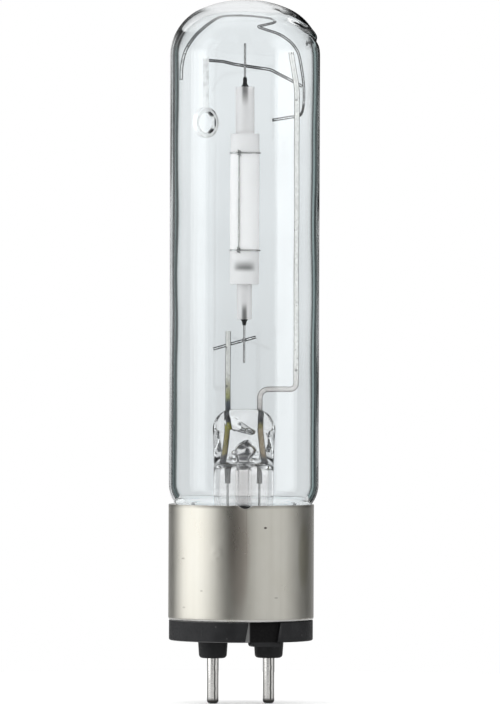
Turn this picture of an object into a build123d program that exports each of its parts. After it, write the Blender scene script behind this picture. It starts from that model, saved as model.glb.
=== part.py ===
from build123d import *
import os
from math import atan2, cos, degrees, radians, sin, sqrt, tan

# High pressure sodium lamp: a clear tubular bulb on a two-pin base, with its arc tube on a wire frame.
# Sizes are in millimetres. +Z runs up the lamp, the origin is the middle of the base plate's underside,
# and the contact pins stand below it on the X axis.

# Contact pins
pin_spacing = 12.0
pin_dia = 2.45
pin_length = 9.6
pin_tip_round = 0.6
pin_bore = 1.1
pin_shank_dia = 3.0
pin_head_dia = 4.6
pin_head_height = 0.7
tip_solder_depth = 2.0

# Base plate, with its bosses, keyway and tab. Its rim stands a little inside the shell's face.
plate_inset = 0.15
plate_height = 4.2
plate_floor = 2.8
plate_edge_round = 0.35
spigot_height = 3.8
spigot_wall = 1.5
boss_dia = 6.35
boss_height = 3.8
boss_draft = 4.0
boss_round = 0.8
key_angle = -81.6
key_width = 7.9
key_depth = 1.2
key_lean = 0.8
key_bevel = 1.1
key_tab_height = 0.9
key_tab_length = 3.0
key_tab_width = 6.0
key_tab_round = 0.6

# Base shell, a little narrower than the bulb that stands in it
shell_inset = 0.5
shell_wall = 0.4
shell_length = 24.6
shell_edge_round = 0.15
rim_notch_angle = -96.8
rim_notch_width = 3.0
rim_notch_depth = 0.7

# Outer bulb, cemented a little off the shell's middle and turned a little from the pins
bulb_dia = 31.8
bulb_wall = 1.65
crown_radius = 23.0
knuckle_radius = 11.0
shoulder_radius = 7.0
neck_inset = 3.7
neck_depth = 11.8
bulb_offset = 0.48
bulb_rim_gap = 0.1
frame_turn = -10.0
cement_drop = 1.0
cement_length = 9.2

# Stem: flare tube, press and exhaust tube
stem_dia = 12.8
stem_wall = 1.25
stem_rise = 8.5
press_height = 11.6
press_width = 13.4
press_thickness = 5.6
press_blend = 4.0
press_top_width = 5.0
press_shoulder = 4.4
exhaust_dia = 3.7
exhaust_wall = 0.85
exhaust_length = 25.3
exhaust_tip_wall = 1.1
port_dia = 1.7
port_rise = 6.2
port_start = 1.6
port_angle = -143.5
port_climb = 26.0

# Rods and wires of the frame
lead_spacing = 6.75
lead_dia = 1.16
lead_tail = 4.2
outer_lead_dia = 0.45
outer_lead_drop = 11.0
outer_lead_bend = 3.0
weld_sink = 0.08
bar_dia = 0.66
post_over = 2.9
run_rise = 4.2
run_bend = 1.8
corner_bend = 1.3
rod_wall_gap = 3.2
rod_knee_drop = 7.4
rod_knee_bend = 20.0
rod_lean = 1.3
rod_over = 6.5
lower_bar_left = 6.6
lower_bar_right = 2.5
lower_bar_slope = 15.6
upper_bar_left = 8.9
upper_bar_jog = 2.3
upper_bar_jog_run = 2.3
upper_bar_climb = 1.2
upper_bar_level = 5.4
upper_bar_dip = 0.8
upper_bar_fall = 3.7
upper_bar_tail = 1.2
upper_bar_bend = 4.0

# Dome spring
spring_dia = 0.65
spring_turn = 17.0
spring_wall_gap = 0.18
spring_weld_drop = 13.4
spring_stub = 5.2
spring_stub_fall = 0.9
spring_stub_bend = 0.6
spring_leg_rise = 2.2
spring_leg_bend = 1.5
spring_left_end_drop = 15.85
spring_bow_bend = 3.0
spring_kink_bend = 0.6

# Bends of the spring's hoop, as pairs of sideways place and drop below the hoop's top.
# The right bends are measured in from the right leg, the left bends in from the left leg,
# and the kink and the crown bend from the bulb's axis.
spring_right_bends = [(0.3, 12.7), (2.4, 7.4), (5.1, 5.3)]
spring_kink_bends = [(2.6, 3.0), (5.3, 1.7), (3.6, 0.5)]
spring_crown_bend = (-5.0, 0.8)
spring_left_bends = [(3.8, 3.9), (0.9, 8.6)]

# Getter
getter_dia = 6.4
getter_inner_dia = 4.4
getter_depth = 1.1
getter_sheet = 0.18
getter_fill_height = 0.7
getter_turn = 45.0
getter_drop = 10.1
strap_width = 1.2
strap_sheet = 0.15
strap_inset = 0.05
strap_over = 0.6

# Arc tube
tube_dia = 6.2
tube_wall = 0.8
tube_length = 31.8
press_gap = 9.75
dome_gap = 7.55
plug_depth = 2.8
capillary_bore = 1.05
upper_capillary_dia = 4.0
upper_capillary_length = 10.0
lower_capillary_dia = 3.25
lower_capillary_length = 7.5
feed_dia = 0.85
upper_feed_depth = 4.0
lower_feed_depth = 3.0
feed_wire_dia = 0.45
feed_wire_length = 9.25
weld_inset = 4.8
frit_sleeve_dia = 0.6
upper_frit_dia = 1.8
upper_frit_cone = 0.7
upper_frit_height = 1.9
lower_frit_dia = 1.5
lower_frit_cone = 0.9
lower_frit_height = 1.1
electrode_dia = 0.5
upper_electrode_reach = 6.2
lower_electrode_reach = 9.1
coil_wire_dia = 0.4
coil_turns = 4
coil_tip = 0.7
coil_gap = 0.01
amalgam_height = 2.0
antenna_dia = 0.3
antenna_gap = 0.02
antenna_step = 0.1
antenna_tail = 0.5
antenna_angle = -111.0
upper_antenna_inset = 4.1
lower_antenna_inset = 7.1

# A rounding takes at most this share of the wall it rounds
most_round = 0.9

# Heights worked out from the sizes above
boss_foot_z = -boss_height
pin_tip_z = boss_foot_z - pin_length
shell_top_z = plate_height + shell_length
seal_z = shell_top_z - neck_depth
press_foot_z = shell_top_z + stem_rise
press_top_z = press_foot_z + press_height
lead_foot_z = press_foot_z - lead_tail
lower_wire_foot_z = press_top_z + press_gap
lower_weld_z = lower_wire_foot_z + weld_inset
lower_capillary_z = lower_wire_foot_z + feed_wire_length
tube_foot_z = lower_capillary_z + lower_capillary_length
tube_top_z = tube_foot_z + tube_length
upper_capillary_z = tube_top_z + upper_capillary_length
upper_wire_top_z = upper_capillary_z + feed_wire_length
upper_weld_z = upper_wire_top_z - weld_inset
inner_apex_z = upper_wire_top_z + dome_gap
apex_z = inner_apex_z + bulb_wall

# Radii and places worked out from the sizes above
pin_r = pin_dia / 2
bulb_r = bulb_dia / 2
bulb_in_r = bulb_r - bulb_wall
neck_r = bulb_r - neck_inset
shell_r = bulb_r - shell_inset
shell_in_r = shell_r - shell_wall
plate_r = shell_r - plate_inset
stem_r = stem_dia / 2
exhaust_r = exhaust_dia / 2
lead_r = lead_dia / 2
bar_r = bar_dia / 2
spring_r = spring_dia / 2
tube_r = tube_dia / 2
tube_in_r = tube_r - tube_wall
feed_wire_r = feed_wire_dia / 2
lead_x = lead_spacing / 2
rod_x = bulb_in_r - rod_wall_gap

# The crossbars lie behind the arc tube's leads, and the two rods lie in front of the crossbars
bar_y = feed_wire_r + bar_r - weld_sink
lead_y = bar_y - lead_r - bar_r + weld_sink

# The bulb's shoulder starts to turn in just above the shell, so that it clears the shell's rim
shoulder_x = bulb_r - shoulder_radius
rim_x = shell_in_r - bulb_offset - bulb_rim_gap
shoulder_z = shell_top_z + sqrt(shoulder_radius**2 - (rim_x - shoulder_x) ** 2)

# The dome is a wide crown that runs into a tighter knuckle
knuckle_x = bulb_r - knuckle_radius
crown_z = apex_z - crown_radius
dome_z = crown_z + sqrt((crown_radius - knuckle_radius) ** 2 - knuckle_x**2)
knuckle_angle = degrees(atan2(dome_z - crown_z, knuckle_x))

# Everything in the bulb is built about the bulb's own axis, facing the wire frame, and then put here
in_bulb = Rot(0, 0, frame_turn) * Pos(bulb_offset, 0, 0)


def turned(outline):
    """Solid turned about Z from an outline of radius and height."""
    return revolve(Plane.XZ * make_face(outline), Axis.Z)


def ring(points):
    """Solid turned about Z from straight runs between points of radius and height."""
    return turned(Polyline(*points, close=True))


def drum(radius, foot, height):
    """Upright cylinder that stands at a height."""
    return Pos(0, 0, foot) * Cylinder(radius, height, align=(Align.CENTER, Align.CENTER, Align.MIN))


def wire(dia, path):
    """Round wire along a path."""
    return sweep(Plane(origin=path @ 0, z_dir=path % 0) * Circle(dia / 2), path=path)


def frame_points(y, *places):
    """Points of the wire frame at one depth, from pairs of sideways place and height."""
    return [Vector(x, y, z) for x, z in places]


def make_contact_pin(side):
    """Hollow pin with a flanged head on the plate's floor."""
    head_z = plate_floor + pin_head_height
    bore_r = pin_bore / 2
    outline = FilletPolyline(
        (bore_r, pin_tip_z),
        (pin_r, pin_tip_z),
        (pin_r, boss_foot_z),
        (pin_shank_dia / 2, boss_foot_z),
        (pin_shank_dia / 2, plate_floor),
        (pin_head_dia / 2, plate_floor),
        (pin_head_dia / 2, head_z),
        (bore_r, head_z),
        radius=[0, min(pin_tip_round, most_round * (pin_r - bore_r)), 0, 0, 0, 0, 0, 0],
        close=True,
    )
    return Pos(side * pin_spacing / 2, 0, 0) * turned(outline)


def make_tip_solder(side):
    """Plug of solder that closes the pin's tip."""
    return Pos(side * pin_spacing / 2, 0, 0) * drum(pin_bore / 2, pin_tip_z, tip_solder_depth)


def make_boss(side):
    """Tapered boss under the plate, rounded at its foot."""
    foot_r = boss_dia / 2 - boss_height * tan(radians(boss_draft))
    boss = Cone(foot_r, boss_dia / 2, boss_height, align=(Align.CENTER, Align.CENTER, Align.MAX))
    boss = fillet(boss.edges().group_by(Axis.Z)[0], boss_round)
    return Pos(side * pin_spacing / 2, 0, 0) * boss


def make_keyway():
    """Cutter for the keyway in the rim, with one bevelled flank and one slanted flank."""
    half = key_width / 2
    mouth = Polygon((-half, 0), (half - key_lean, 0), (half, plate_height), (-half, plate_height), align=None)
    floor = Polygon(
        (-half, 0),
        (half - key_lean, 0),
        (half, plate_height),
        (key_bevel - half, plate_height),
        align=None,
    )
    floor_y = key_depth - plate_r
    mouth_y = -plate_r - key_depth
    at_floor = Plane(origin=(0, floor_y, 0), x_dir=(1, 0, 0), z_dir=(0, -1, 0))
    at_mouth = Plane(origin=(0, mouth_y, 0), x_dir=(1, 0, 0), z_dir=(0, -1, 0))
    cutter = loft([at_mouth * mouth, at_floor * floor], ruled=True)
    return Rot(0, 0, key_angle + 90) * cutter


def make_key_tab():
    """Low tab that runs in from the keyway under the plate."""
    half = key_width / 2
    outline = Polygon(
        (half - key_tab_width, 0),
        (half - key_tab_width, -key_tab_height),
        (half, -key_tab_height),
        (half, 0),
        align=None,
    )
    corner = outline.vertices().sort_by(Axis.X)[:2].sort_by(Axis.Y)[0]
    outline = fillet(corner, min(key_tab_round, most_round * key_tab_height))
    at_floor = Plane(origin=(0, key_depth - plate_r, 0), x_dir=(1, 0, 0), z_dir=(0, -1, 0))
    return Rot(0, 0, key_angle + 90) * extrude(at_floor * outline, -key_tab_length)


def make_base_plate():
    """Moulded plate with a spigot for the shell, two bosses, a keyway and a tab."""
    spigot_in_r = shell_in_r - spigot_wall
    spigot_z = plate_height + spigot_height
    outline = FilletPolyline(
        (0, 0),
        (plate_r, 0),
        (plate_r, plate_height),
        (shell_in_r, plate_height),
        (shell_in_r, spigot_z),
        (spigot_in_r, spigot_z),
        (spigot_in_r, plate_floor),
        (0, plate_floor),
        radius=[0, plate_edge_round, 0, 0, 0, 0, 0, 0],
        close=True,
    )
    plate = turned(outline) - make_keyway() + make_key_tab()
    for side in (-1, 1):
        plate += make_boss(side)
    for side in (-1, 1):
        hole = drum(pin_shank_dia / 2, boss_foot_z, plate_floor + boss_height)
        plate -= Pos(side * pin_spacing / 2, 0, 0) * hole
    return plate


def make_base_shell():
    """Thin sleeve that stands on the plate's rim, with a shallow notch in its upper rim."""
    edge_round = min(shell_edge_round, most_round * shell_wall)
    outline = FilletPolyline(
        (shell_in_r, plate_height),
        (shell_r, plate_height),
        (shell_r, shell_top_z),
        (shell_in_r, shell_top_z),
        radius=[0, edge_round, edge_round, 0],
        close=True,
    )
    notch_r = ((rim_notch_width / 2) ** 2 + rim_notch_depth**2) / (2 * rim_notch_depth)
    notch = Rot(0, 90, 0) * Cylinder(notch_r, 2 * shell_r, align=(Align.CENTER, Align.CENTER, Align.MIN))
    notch = Rot(0, 0, rim_notch_angle) * Pos(0, 0, shell_top_z + notch_r - rim_notch_depth) * notch
    return turned(outline) - notch


def bulb_form(skin):
    """The bulb's form, a skin's thickness inside its outer face and filled."""
    neck = neck_r - skin
    bend = shoulder_radius - skin
    neck_angle = -degrees(atan2(sqrt(bend**2 - (neck - shoulder_x) ** 2), neck - shoulder_x))
    shoulder = CenterArc((shoulder_x, shoulder_z), bend, neck_angle, -neck_angle)
    knuckle = CenterArc((knuckle_x, dome_z), knuckle_radius - skin, 0, knuckle_angle)
    crown = CenterArc((0, crown_z), crown_radius - skin, knuckle_angle, 90 - knuckle_angle)
    outline = [
        Polyline(crown @ 1, (0, seal_z), (neck, seal_z), shoulder @ 0),
        shoulder,
        Line(shoulder @ 1, knuckle @ 0),
        knuckle,
        crown,
    ]
    return turned(outline)


def make_outer_bulb():
    """Clear bulb of even wall, open at the foot of its neck."""
    return bulb_form(0) - bulb_form(bulb_wall)


def make_capping_cement():
    """Cement between the bulb's neck and the shell."""
    cement = drum(shell_in_r, shell_top_z - cement_drop - cement_length, cement_length)
    return cement - in_bulb * bulb_form(0)


def make_flare_tube():
    """Tube below the press, belled out to meet the end of the bulb's neck."""
    neck_in_r = neck_r - bulb_wall
    flare_r = neck_in_r - stem_r
    bell_z = seal_z + flare_r
    bell_out = CenterArc((neck_in_r, bell_z), flare_r, 180, 90)
    bell_in = CenterArc((neck_in_r, bell_z), flare_r + stem_wall, 180, 90)
    outline = [
        Polyline(bell_in @ 0, (stem_r - stem_wall, press_foot_z), (stem_r, press_foot_z), bell_out @ 0),
        bell_out,
        Polyline(bell_out @ 1, (neck_r, seal_z), (neck_r, seal_z - stem_wall), bell_in @ 1),
        bell_in,
    ]
    return turned(outline)


def make_press():
    """Flat press, blended up from the round tube to an oval with rounded shoulders."""
    half = press_width / 2
    top_half = press_top_width / 2
    oval = Ellipse(half, press_thickness / 2)
    blend = loft([Pos(0, 0, press_foot_z) * Circle(stem_r), Pos(0, 0, press_foot_z + press_blend) * oval])
    slab = extrude(Pos(0, 0, press_foot_z + press_blend) * oval, press_height - press_blend)
    shoulder_foot_z = press_top_z - press_shoulder
    right = EllipticalCenterArc((top_half, shoulder_foot_z), half - top_half, press_shoulder)
    left = mirror(right, Plane.YZ)
    front = [
        right,
        left,
        Line(right @ 1, left @ 1),
        Polyline(right @ 0, (half, press_foot_z), (-half, press_foot_z), left @ 0),
    ]
    return blend + (slab & extrude(Plane.XZ * make_face(front), press_thickness, both=True))


def make_exhaust_passage():
    """Cutter for the passage from the exhaust tube up into the press and out at its face."""
    bore_r = exhaust_r - exhaust_wall
    bore = drum(bore_r, press_foot_z, port_rise) + Pos(0, 0, press_foot_z + port_rise) * Sphere(bore_r)
    port = Cylinder(port_dia / 2, press_width, align=(Align.CENTER, Align.CENTER, Align.MIN))
    port += Sphere(port_dia / 2)
    port = Rot(0, 0, port_angle) * Rot(0, 90 - port_climb, 0) * port
    return bore + Pos(port_start, 0, press_foot_z + port_rise) * port


def make_stem(leads):
    """Flare tube and press, sealed round the two leads."""
    stem = make_flare_tube() + make_press() - make_exhaust_passage()
    for lead in leads:
        stem -= lead
    return stem


def make_exhaust_tube():
    """Exhaust tube below the press, closed where it was melted off."""
    bore_r = exhaust_r - exhaust_wall
    tip_z = press_foot_z - exhaust_length
    outside = CenterArc((0, tip_z + exhaust_r), exhaust_r, -90, 90)
    inside = CenterArc((0, tip_z + exhaust_tip_wall + bore_r), bore_r, -90, 90)
    outline = [
        outside,
        Polyline(outside @ 1, (exhaust_r, press_foot_z), (bore_r, press_foot_z), inside @ 1),
        inside,
        Line(inside @ 0, outside @ 0),
    ]
    return turned(outline)


def lower_bar_z(x):
    """Height of the lower crossbar at a place along it."""
    return lower_weld_z + x * tan(radians(lower_bar_slope))


def make_support_post():
    """Straight rod through the press, up past the lower crossbar."""
    top_z = lower_bar_z(-lead_x) + post_over
    return Pos(-lead_x, lead_y, 0) * drum(lead_r, lead_foot_z, top_z - lead_foot_z)


def make_frame_rod():
    """Rod through the press, bent out to the side and up past the upper crossbar."""
    run_z = press_top_z + run_rise
    top_z = upper_weld_z - upper_bar_fall + rod_over
    places = [
        (lead_x, lead_foot_z),
        (lead_x, run_z),
        (rod_x, run_z),
        (rod_x, top_z - rod_knee_drop),
        (rod_x - rod_lean, top_z),
    ]
    bends = [run_bend, corner_bend, rod_knee_bend]
    return wire(lead_dia, FilletPolyline(frame_points(lead_y, *places), radius=bends))


def make_outer_lead(side):
    """Thin wire from a lead's foot down into its pin, as far as the solder."""
    foot = (in_bulb * Pos(side * lead_x, lead_y, lead_foot_z)).position
    pin_x = side * pin_spacing / 2
    points = [
        foot,
        Vector(foot.X, foot.Y, foot.Z - outer_lead_drop),
        Vector(pin_x, 0, plate_floor + pin_head_height + outer_lead_bend),
        Vector(pin_x, 0, pin_tip_z + tip_solder_depth),
    ]
    return wire(outer_lead_dia, FilletPolyline(points, radius=outer_lead_bend))


def make_lower_crossbar(post, lead):
    """Straight sloping wire, welded behind the post and the lower lead."""
    ends = frame_points(
        bar_y,
        (-lower_bar_left, lower_bar_z(-lower_bar_left)),
        (lower_bar_right, lower_bar_z(lower_bar_right)),
    )
    return wire(bar_dia, Line(*ends)) - post - lead


def make_upper_crossbar(rod, lead):
    """Hand-bent wire, welded behind the frame rod and the upper lead."""
    jog_x = upper_bar_jog + upper_bar_jog_run
    rod_z = upper_weld_z - upper_bar_fall
    slope = (upper_bar_fall - upper_bar_dip) / (rod_x - upper_bar_level)
    places = [
        (-upper_bar_left, upper_weld_z + upper_bar_climb),
        (-jog_x, upper_weld_z + upper_bar_climb - bar_r),
        (-upper_bar_jog, upper_weld_z + bar_r),
        (upper_bar_level, upper_weld_z - upper_bar_dip),
        (rod_x + upper_bar_tail, rod_z - slope * upper_bar_tail),
    ]
    return wire(bar_dia, FilletPolyline(frame_points(bar_y, *places), radius=upper_bar_bend)) - rod - lead


def hoop_point(reach, z):
    """Point of the spring's hoop, whose plane is turned from the wire frame's."""
    turn = radians(spring_turn)
    return Vector(reach * cos(turn), reach * sin(turn), z)


def make_dome_spring(rod):
    """Wire hoop, welded behind the frame rod, that bears on the bulb's wall and dome."""
    leg = bulb_in_r - spring_r - spring_wall_gap
    top_z = inner_apex_z - spring_r - spring_wall_gap
    weld_y = lead_y + lead_r + spring_r - weld_sink
    weld_z = upper_weld_z - upper_bar_fall + rod_over - spring_weld_drop
    stub = [
        Vector(rod_x - spring_stub, weld_y, weld_z - spring_stub_fall),
        Vector(rod_x + lead_r + spring_r, weld_y, weld_z),
    ]
    right = [hoop_point(leg, weld_z + spring_leg_rise)]
    right += [hoop_point(leg - inset, top_z - drop) for inset, drop in spring_right_bends]
    kink = [hoop_point(reach, top_z - drop) for reach, drop in spring_kink_bends]
    left = [hoop_point(spring_crown_bend[0], top_z - spring_crown_bend[1])]
    left += [hoop_point(inset - leg, top_z - drop) for inset, drop in spring_left_bends]
    left += [hoop_point(-leg, inner_apex_z - spring_left_end_drop)]
    bends = [spring_stub_bend, spring_leg_bend]
    bends += [spring_bow_bend] * len(spring_right_bends)
    bends += [spring_kink_bend] * len(kink)
    bends += [spring_bow_bend] * (len(left) - 1)
    return wire(spring_dia, FilletPolyline(stub + right + kink + left, radius=bends)) - rod


def strap_place():
    """Middle of the strap's upper edge: its back rests on the front of the upper crossbar's end."""
    x = strap_inset + strap_width / 2 - upper_bar_left
    y = bar_y - bar_r + weld_sink - strap_sheet / 2
    return Vector(x, y, upper_weld_z + upper_bar_climb + strap_over)


def getter_place():
    """Where the getter ring hangs, turned from the frame's plane."""
    strap = strap_place()
    middle_z = strap.Z - strap_over - getter_drop - getter_dia / 2
    return Pos(strap.X, strap.Y, middle_z) * Rot(0, 0, getter_turn) * Rot(90, 0, 0)


def make_getter_ring():
    """Ring of channel section, open towards the bulb's front."""
    out_r = getter_dia / 2
    in_r = getter_inner_dia / 2
    back_z = -getter_depth / 2
    channel = ring(
        [
            (in_r, back_z),
            (out_r, back_z),
            (out_r, back_z + getter_depth),
            (out_r - getter_sheet, back_z + getter_depth),
            (out_r - getter_sheet, back_z + getter_sheet),
            (in_r + getter_sheet, back_z + getter_sheet),
            (in_r + getter_sheet, back_z + getter_depth),
            (in_r, back_z + getter_depth),
        ]
    )
    return getter_place() * channel


def make_getter_fill():
    """Pressed powder in the ring's channel."""
    fill_z = getter_sheet - getter_depth / 2
    fill = drum(getter_dia / 2 - getter_sheet, fill_z, getter_fill_height)
    fill -= drum(getter_inner_dia / 2 + getter_sheet, fill_z, getter_fill_height)
    return getter_place() * fill


def make_getter_strap(bar, channel):
    """Thin strap from the upper crossbar's end down to the ring's edge."""
    top = strap_place()
    length = strap_over + getter_drop + getter_sheet
    strap = Box(strap_width, strap_sheet, length, align=(Align.CENTER, Align.CENTER, Align.MAX))
    return Pos(top) * strap - bar - channel


def make_arc_tube_body():
    """Translucent tube, open at both ends."""
    return drum(tube_r, tube_foot_z, tube_length) - drum(tube_in_r, tube_foot_z, tube_length)


def at_end(end_z, way):
    """Frame at one end of the arc tube, with its own +Z out along the lamp's axis."""
    return Pos(0, 0, end_z) * (Rot(0, 0, 0) if way > 0 else Rot(180, 0, 0))


def make_end_plug(end_z, way, capillary_dia, capillary_length):
    """Plug in the tube's end, with a long capillary."""
    plug = drum(tube_in_r, -plug_depth, plug_depth) + drum(capillary_dia / 2, 0, capillary_length)
    plug -= drum(capillary_bore / 2, -plug_depth, plug_depth + capillary_length)
    return at_end(end_z, way) * plug


def make_feedthrough(end_z, way, depth):
    """Niobium rod in the capillary, drawn down to a thin lead outside it."""
    feed = drum(feed_dia / 2, -depth, depth) + drum(feed_wire_r, 0, feed_wire_length)
    return at_end(end_z, way) * feed


def make_frit_seal(end_z, way, depth, cone_dia, cone_height, height):
    """Sealing glass round the rod in the capillary, with a cone and a sleeve on the lead."""
    sleeve_r = frit_sleeve_dia / 2
    seal = ring(
        [
            (feed_dia / 2, -depth),
            (capillary_bore / 2, -depth),
            (capillary_bore / 2, 0),
            (cone_dia / 2, 0),
            (sleeve_r, cone_height),
            (sleeve_r, height),
            (feed_wire_r, height),
            (feed_wire_r, 0),
            (feed_dia / 2, 0),
        ]
    )
    return at_end(end_z, way) * seal


def make_electrode(end_z, way, root, reach):
    """Tungsten rod from the feedthrough's inner end to its tip in the arc tube."""
    return at_end(end_z, way) * drum(electrode_dia / 2, -reach, reach - root)


def make_electrode_coil(end_z, way, reach):
    """Coil wound on the rod just behind its tip."""
    pitch = coil_wire_dia + coil_gap
    coil_r = electrode_dia / 2 + coil_wire_dia / 2 + coil_gap
    path = Helix(pitch, pitch * coil_turns, coil_r)
    section = Plane(origin=path @ 0, z_dir=path % 0) * Circle(coil_wire_dia / 2)
    return at_end(end_z, way) * Pos(0, 0, coil_tip - reach) * sweep(section, path=path, is_frenet=True)


def make_amalgam_pool():
    """Pool of amalgam on the lower plug, round the electrode."""
    foot = tube_foot_z + plug_depth
    return drum(tube_in_r, foot, amalgam_height) - drum(electrode_dia / 2, foot, amalgam_height)


def make_ignition_antenna():
    """Thin wire looped round the arc tube near both ends, with one straight run between."""
    antenna_r = antenna_dia / 2
    loop_r = tube_r + antenna_r + antenna_gap
    low_z = tube_foot_z + lower_antenna_inset
    high_z = tube_top_z - upper_antenna_inset
    run = drum(antenna_r, low_z - antenna_tail, high_z - low_z + 2 * antenna_tail)
    run = Rot(0, 0, antenna_angle) * Pos(loop_r + antenna_step, 0, 0) * run
    return Pos(0, 0, low_z) * Torus(loop_r, antenna_r) + Pos(0, 0, high_z) * Torus(loop_r, antenna_r) + run


def make_base_parts():
    """Pieces placed about the base's own axis."""
    parts = {
        "base_plate": make_base_plate(),
        "base_shell": make_base_shell(),
        "capping_cement": make_capping_cement(),
    }
    for side, word in ((-1, "left"), (1, "right")):
        parts["contact_pin_" + word] = make_contact_pin(side)
        parts["tip_solder_" + word] = make_tip_solder(side)
        parts["outer_lead_" + word] = make_outer_lead(side)
    return parts


def make_arc_tube_parts():
    """Pieces of the arc tube, about the bulb's axis."""
    upper = (tube_top_z, 1)
    lower = (tube_foot_z, -1)
    upper_root = upper_feed_depth - upper_capillary_length
    lower_root = lower_feed_depth - lower_capillary_length
    return {
        "arc_tube_body": make_arc_tube_body(),
        "upper_end_plug": make_end_plug(*upper, upper_capillary_dia, upper_capillary_length),
        "lower_end_plug": make_end_plug(*lower, lower_capillary_dia, lower_capillary_length),
        "upper_feedthrough": make_feedthrough(upper_capillary_z, 1, upper_feed_depth),
        "lower_feedthrough": make_feedthrough(lower_capillary_z, -1, lower_feed_depth),
        "upper_frit_seal": make_frit_seal(
            upper_capillary_z, 1, upper_feed_depth, upper_frit_dia, upper_frit_cone, upper_frit_height
        ),
        "lower_frit_seal": make_frit_seal(
            lower_capillary_z, -1, lower_feed_depth, lower_frit_dia, lower_frit_cone, lower_frit_height
        ),
        "upper_electrode": make_electrode(*upper, upper_root, upper_electrode_reach),
        "lower_electrode": make_electrode(*lower, lower_root, lower_electrode_reach),
        "upper_electrode_coil": make_electrode_coil(*upper, upper_electrode_reach),
        "lower_electrode_coil": make_electrode_coil(*lower, lower_electrode_reach),
        "amalgam_pool": make_amalgam_pool(),
        "ignition_antenna": make_ignition_antenna(),
    }


def make_frame_parts(arc_parts):
    """Rods and wires that carry the arc tube, and the getter."""
    post = make_support_post()
    rod = make_frame_rod()
    upper_bar = make_upper_crossbar(rod, arc_parts["upper_feedthrough"])
    channel = make_getter_ring()
    return {
        "outer_bulb": make_outer_bulb(),
        "stem": make_stem((post, rod)),
        "exhaust_tube": make_exhaust_tube(),
        "support_post": post,
        "frame_rod": rod,
        "lower_crossbar": make_lower_crossbar(post, arc_parts["lower_feedthrough"]),
        "upper_crossbar": upper_bar,
        "dome_spring": make_dome_spring(rod),
        "getter_ring": channel,
        "getter_fill": make_getter_fill(),
        "getter_strap": make_getter_strap(upper_bar, channel),
    }


parts = make_base_parts()
arc_tube_parts = make_arc_tube_parts()
for name, piece in {**arc_tube_parts, **make_frame_parts(arc_tube_parts)}.items():
    parts[name] = in_bulb * piece

os.makedirs("parts", exist_ok=True)
for name, piece in parts.items():
    export_step(piece, f"parts/{name}.step")
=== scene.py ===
from math import acos, atan2, cos, degrees, exp, pi, radians, sin, sqrt, tan

import bmesh
import bpy
from mathutils import Matrix, Vector, noise


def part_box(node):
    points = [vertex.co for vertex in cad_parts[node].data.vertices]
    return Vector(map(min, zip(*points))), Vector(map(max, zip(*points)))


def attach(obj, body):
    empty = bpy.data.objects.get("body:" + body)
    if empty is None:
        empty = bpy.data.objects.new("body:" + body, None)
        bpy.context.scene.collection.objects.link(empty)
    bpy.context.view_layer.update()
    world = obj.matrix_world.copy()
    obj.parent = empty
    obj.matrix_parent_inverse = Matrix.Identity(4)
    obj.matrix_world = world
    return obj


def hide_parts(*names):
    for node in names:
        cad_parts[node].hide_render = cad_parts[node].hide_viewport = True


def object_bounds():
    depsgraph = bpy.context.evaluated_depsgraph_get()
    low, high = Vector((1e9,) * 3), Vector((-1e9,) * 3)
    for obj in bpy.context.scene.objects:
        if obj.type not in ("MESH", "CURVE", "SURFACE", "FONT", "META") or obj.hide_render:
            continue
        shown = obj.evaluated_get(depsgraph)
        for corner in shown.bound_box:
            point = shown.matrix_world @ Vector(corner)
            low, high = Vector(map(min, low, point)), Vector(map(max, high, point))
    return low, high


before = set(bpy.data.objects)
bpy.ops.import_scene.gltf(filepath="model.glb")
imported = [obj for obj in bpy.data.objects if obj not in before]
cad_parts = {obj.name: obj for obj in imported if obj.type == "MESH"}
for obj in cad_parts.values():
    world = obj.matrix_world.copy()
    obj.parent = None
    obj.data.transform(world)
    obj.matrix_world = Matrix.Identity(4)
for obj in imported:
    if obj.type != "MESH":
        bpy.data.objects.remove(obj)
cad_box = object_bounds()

# High pressure sodium lamp. Every length is in metres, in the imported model's frame.
mm = 0.001
root = "root"

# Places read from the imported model
bulb_low, bulb_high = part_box("outer_bulb")
shell_low, shell_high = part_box("base_shell")
exhaust_low, exhaust_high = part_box("exhaust_tube")
tube_low, tube_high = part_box("arc_tube_body")
antenna_low, antenna_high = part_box("ignition_antenna")
pool_low, pool_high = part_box("amalgam_pool")
bulb_axis = Vector(((bulb_low.x + bulb_high.x) / 2, (bulb_low.y + bulb_high.y) / 2, 0))
apex_z = bulb_high.z
seal_z = bulb_low.z
shell_r = (shell_high.x - shell_low.x) / 2
shell_foot_z = shell_low.z
shell_top_z = shell_high.z
cement_top_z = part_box("capping_cement")[1].z
press_top_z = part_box("stem")[1].z
press_foot_z = exhaust_high.z
exhaust_r = (exhaust_high.x - exhaust_low.x) / 2
exhaust_tip_z = exhaust_low.z
pin_tip_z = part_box("contact_pin_left")[0].z
tube_r = (tube_high.x - tube_low.x) / 2
capillary_top_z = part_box("upper_end_plug")[1].z
capillary_foot_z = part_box("lower_end_plug")[0].z
upper_lead_top_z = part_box("upper_feedthrough")[1].z
lower_lead_foot_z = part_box("lower_feedthrough")[0].z

# The wire frame, and with it the bulb's front, is turned from the pins
frame_turn = radians(-10)
in_bulb = Matrix.Translation(bulb_axis) @ Matrix.Rotation(frame_turn, 4, "Z")

# Bulb glass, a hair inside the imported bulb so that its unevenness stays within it
bulb_slack = 0.02 * mm
bulb_r = (bulb_high.x - bulb_low.x) / 2 - bulb_slack
bulb_wall = 1.65 * mm
bulb_segments = 192
crown_radius = 23 * mm
knuckle_radius = 11 * mm
shoulder_radius = 7 * mm
neck_r = bulb_r - 3.7 * mm
rim_x = shell_r - 0.98 * mm
shoulder_x = bulb_r - shoulder_radius
shoulder_z = shell_top_z + sqrt(shoulder_radius**2 - (rim_x - shoulder_x) ** 2)
fusing_gap = 0.02 * mm

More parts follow.
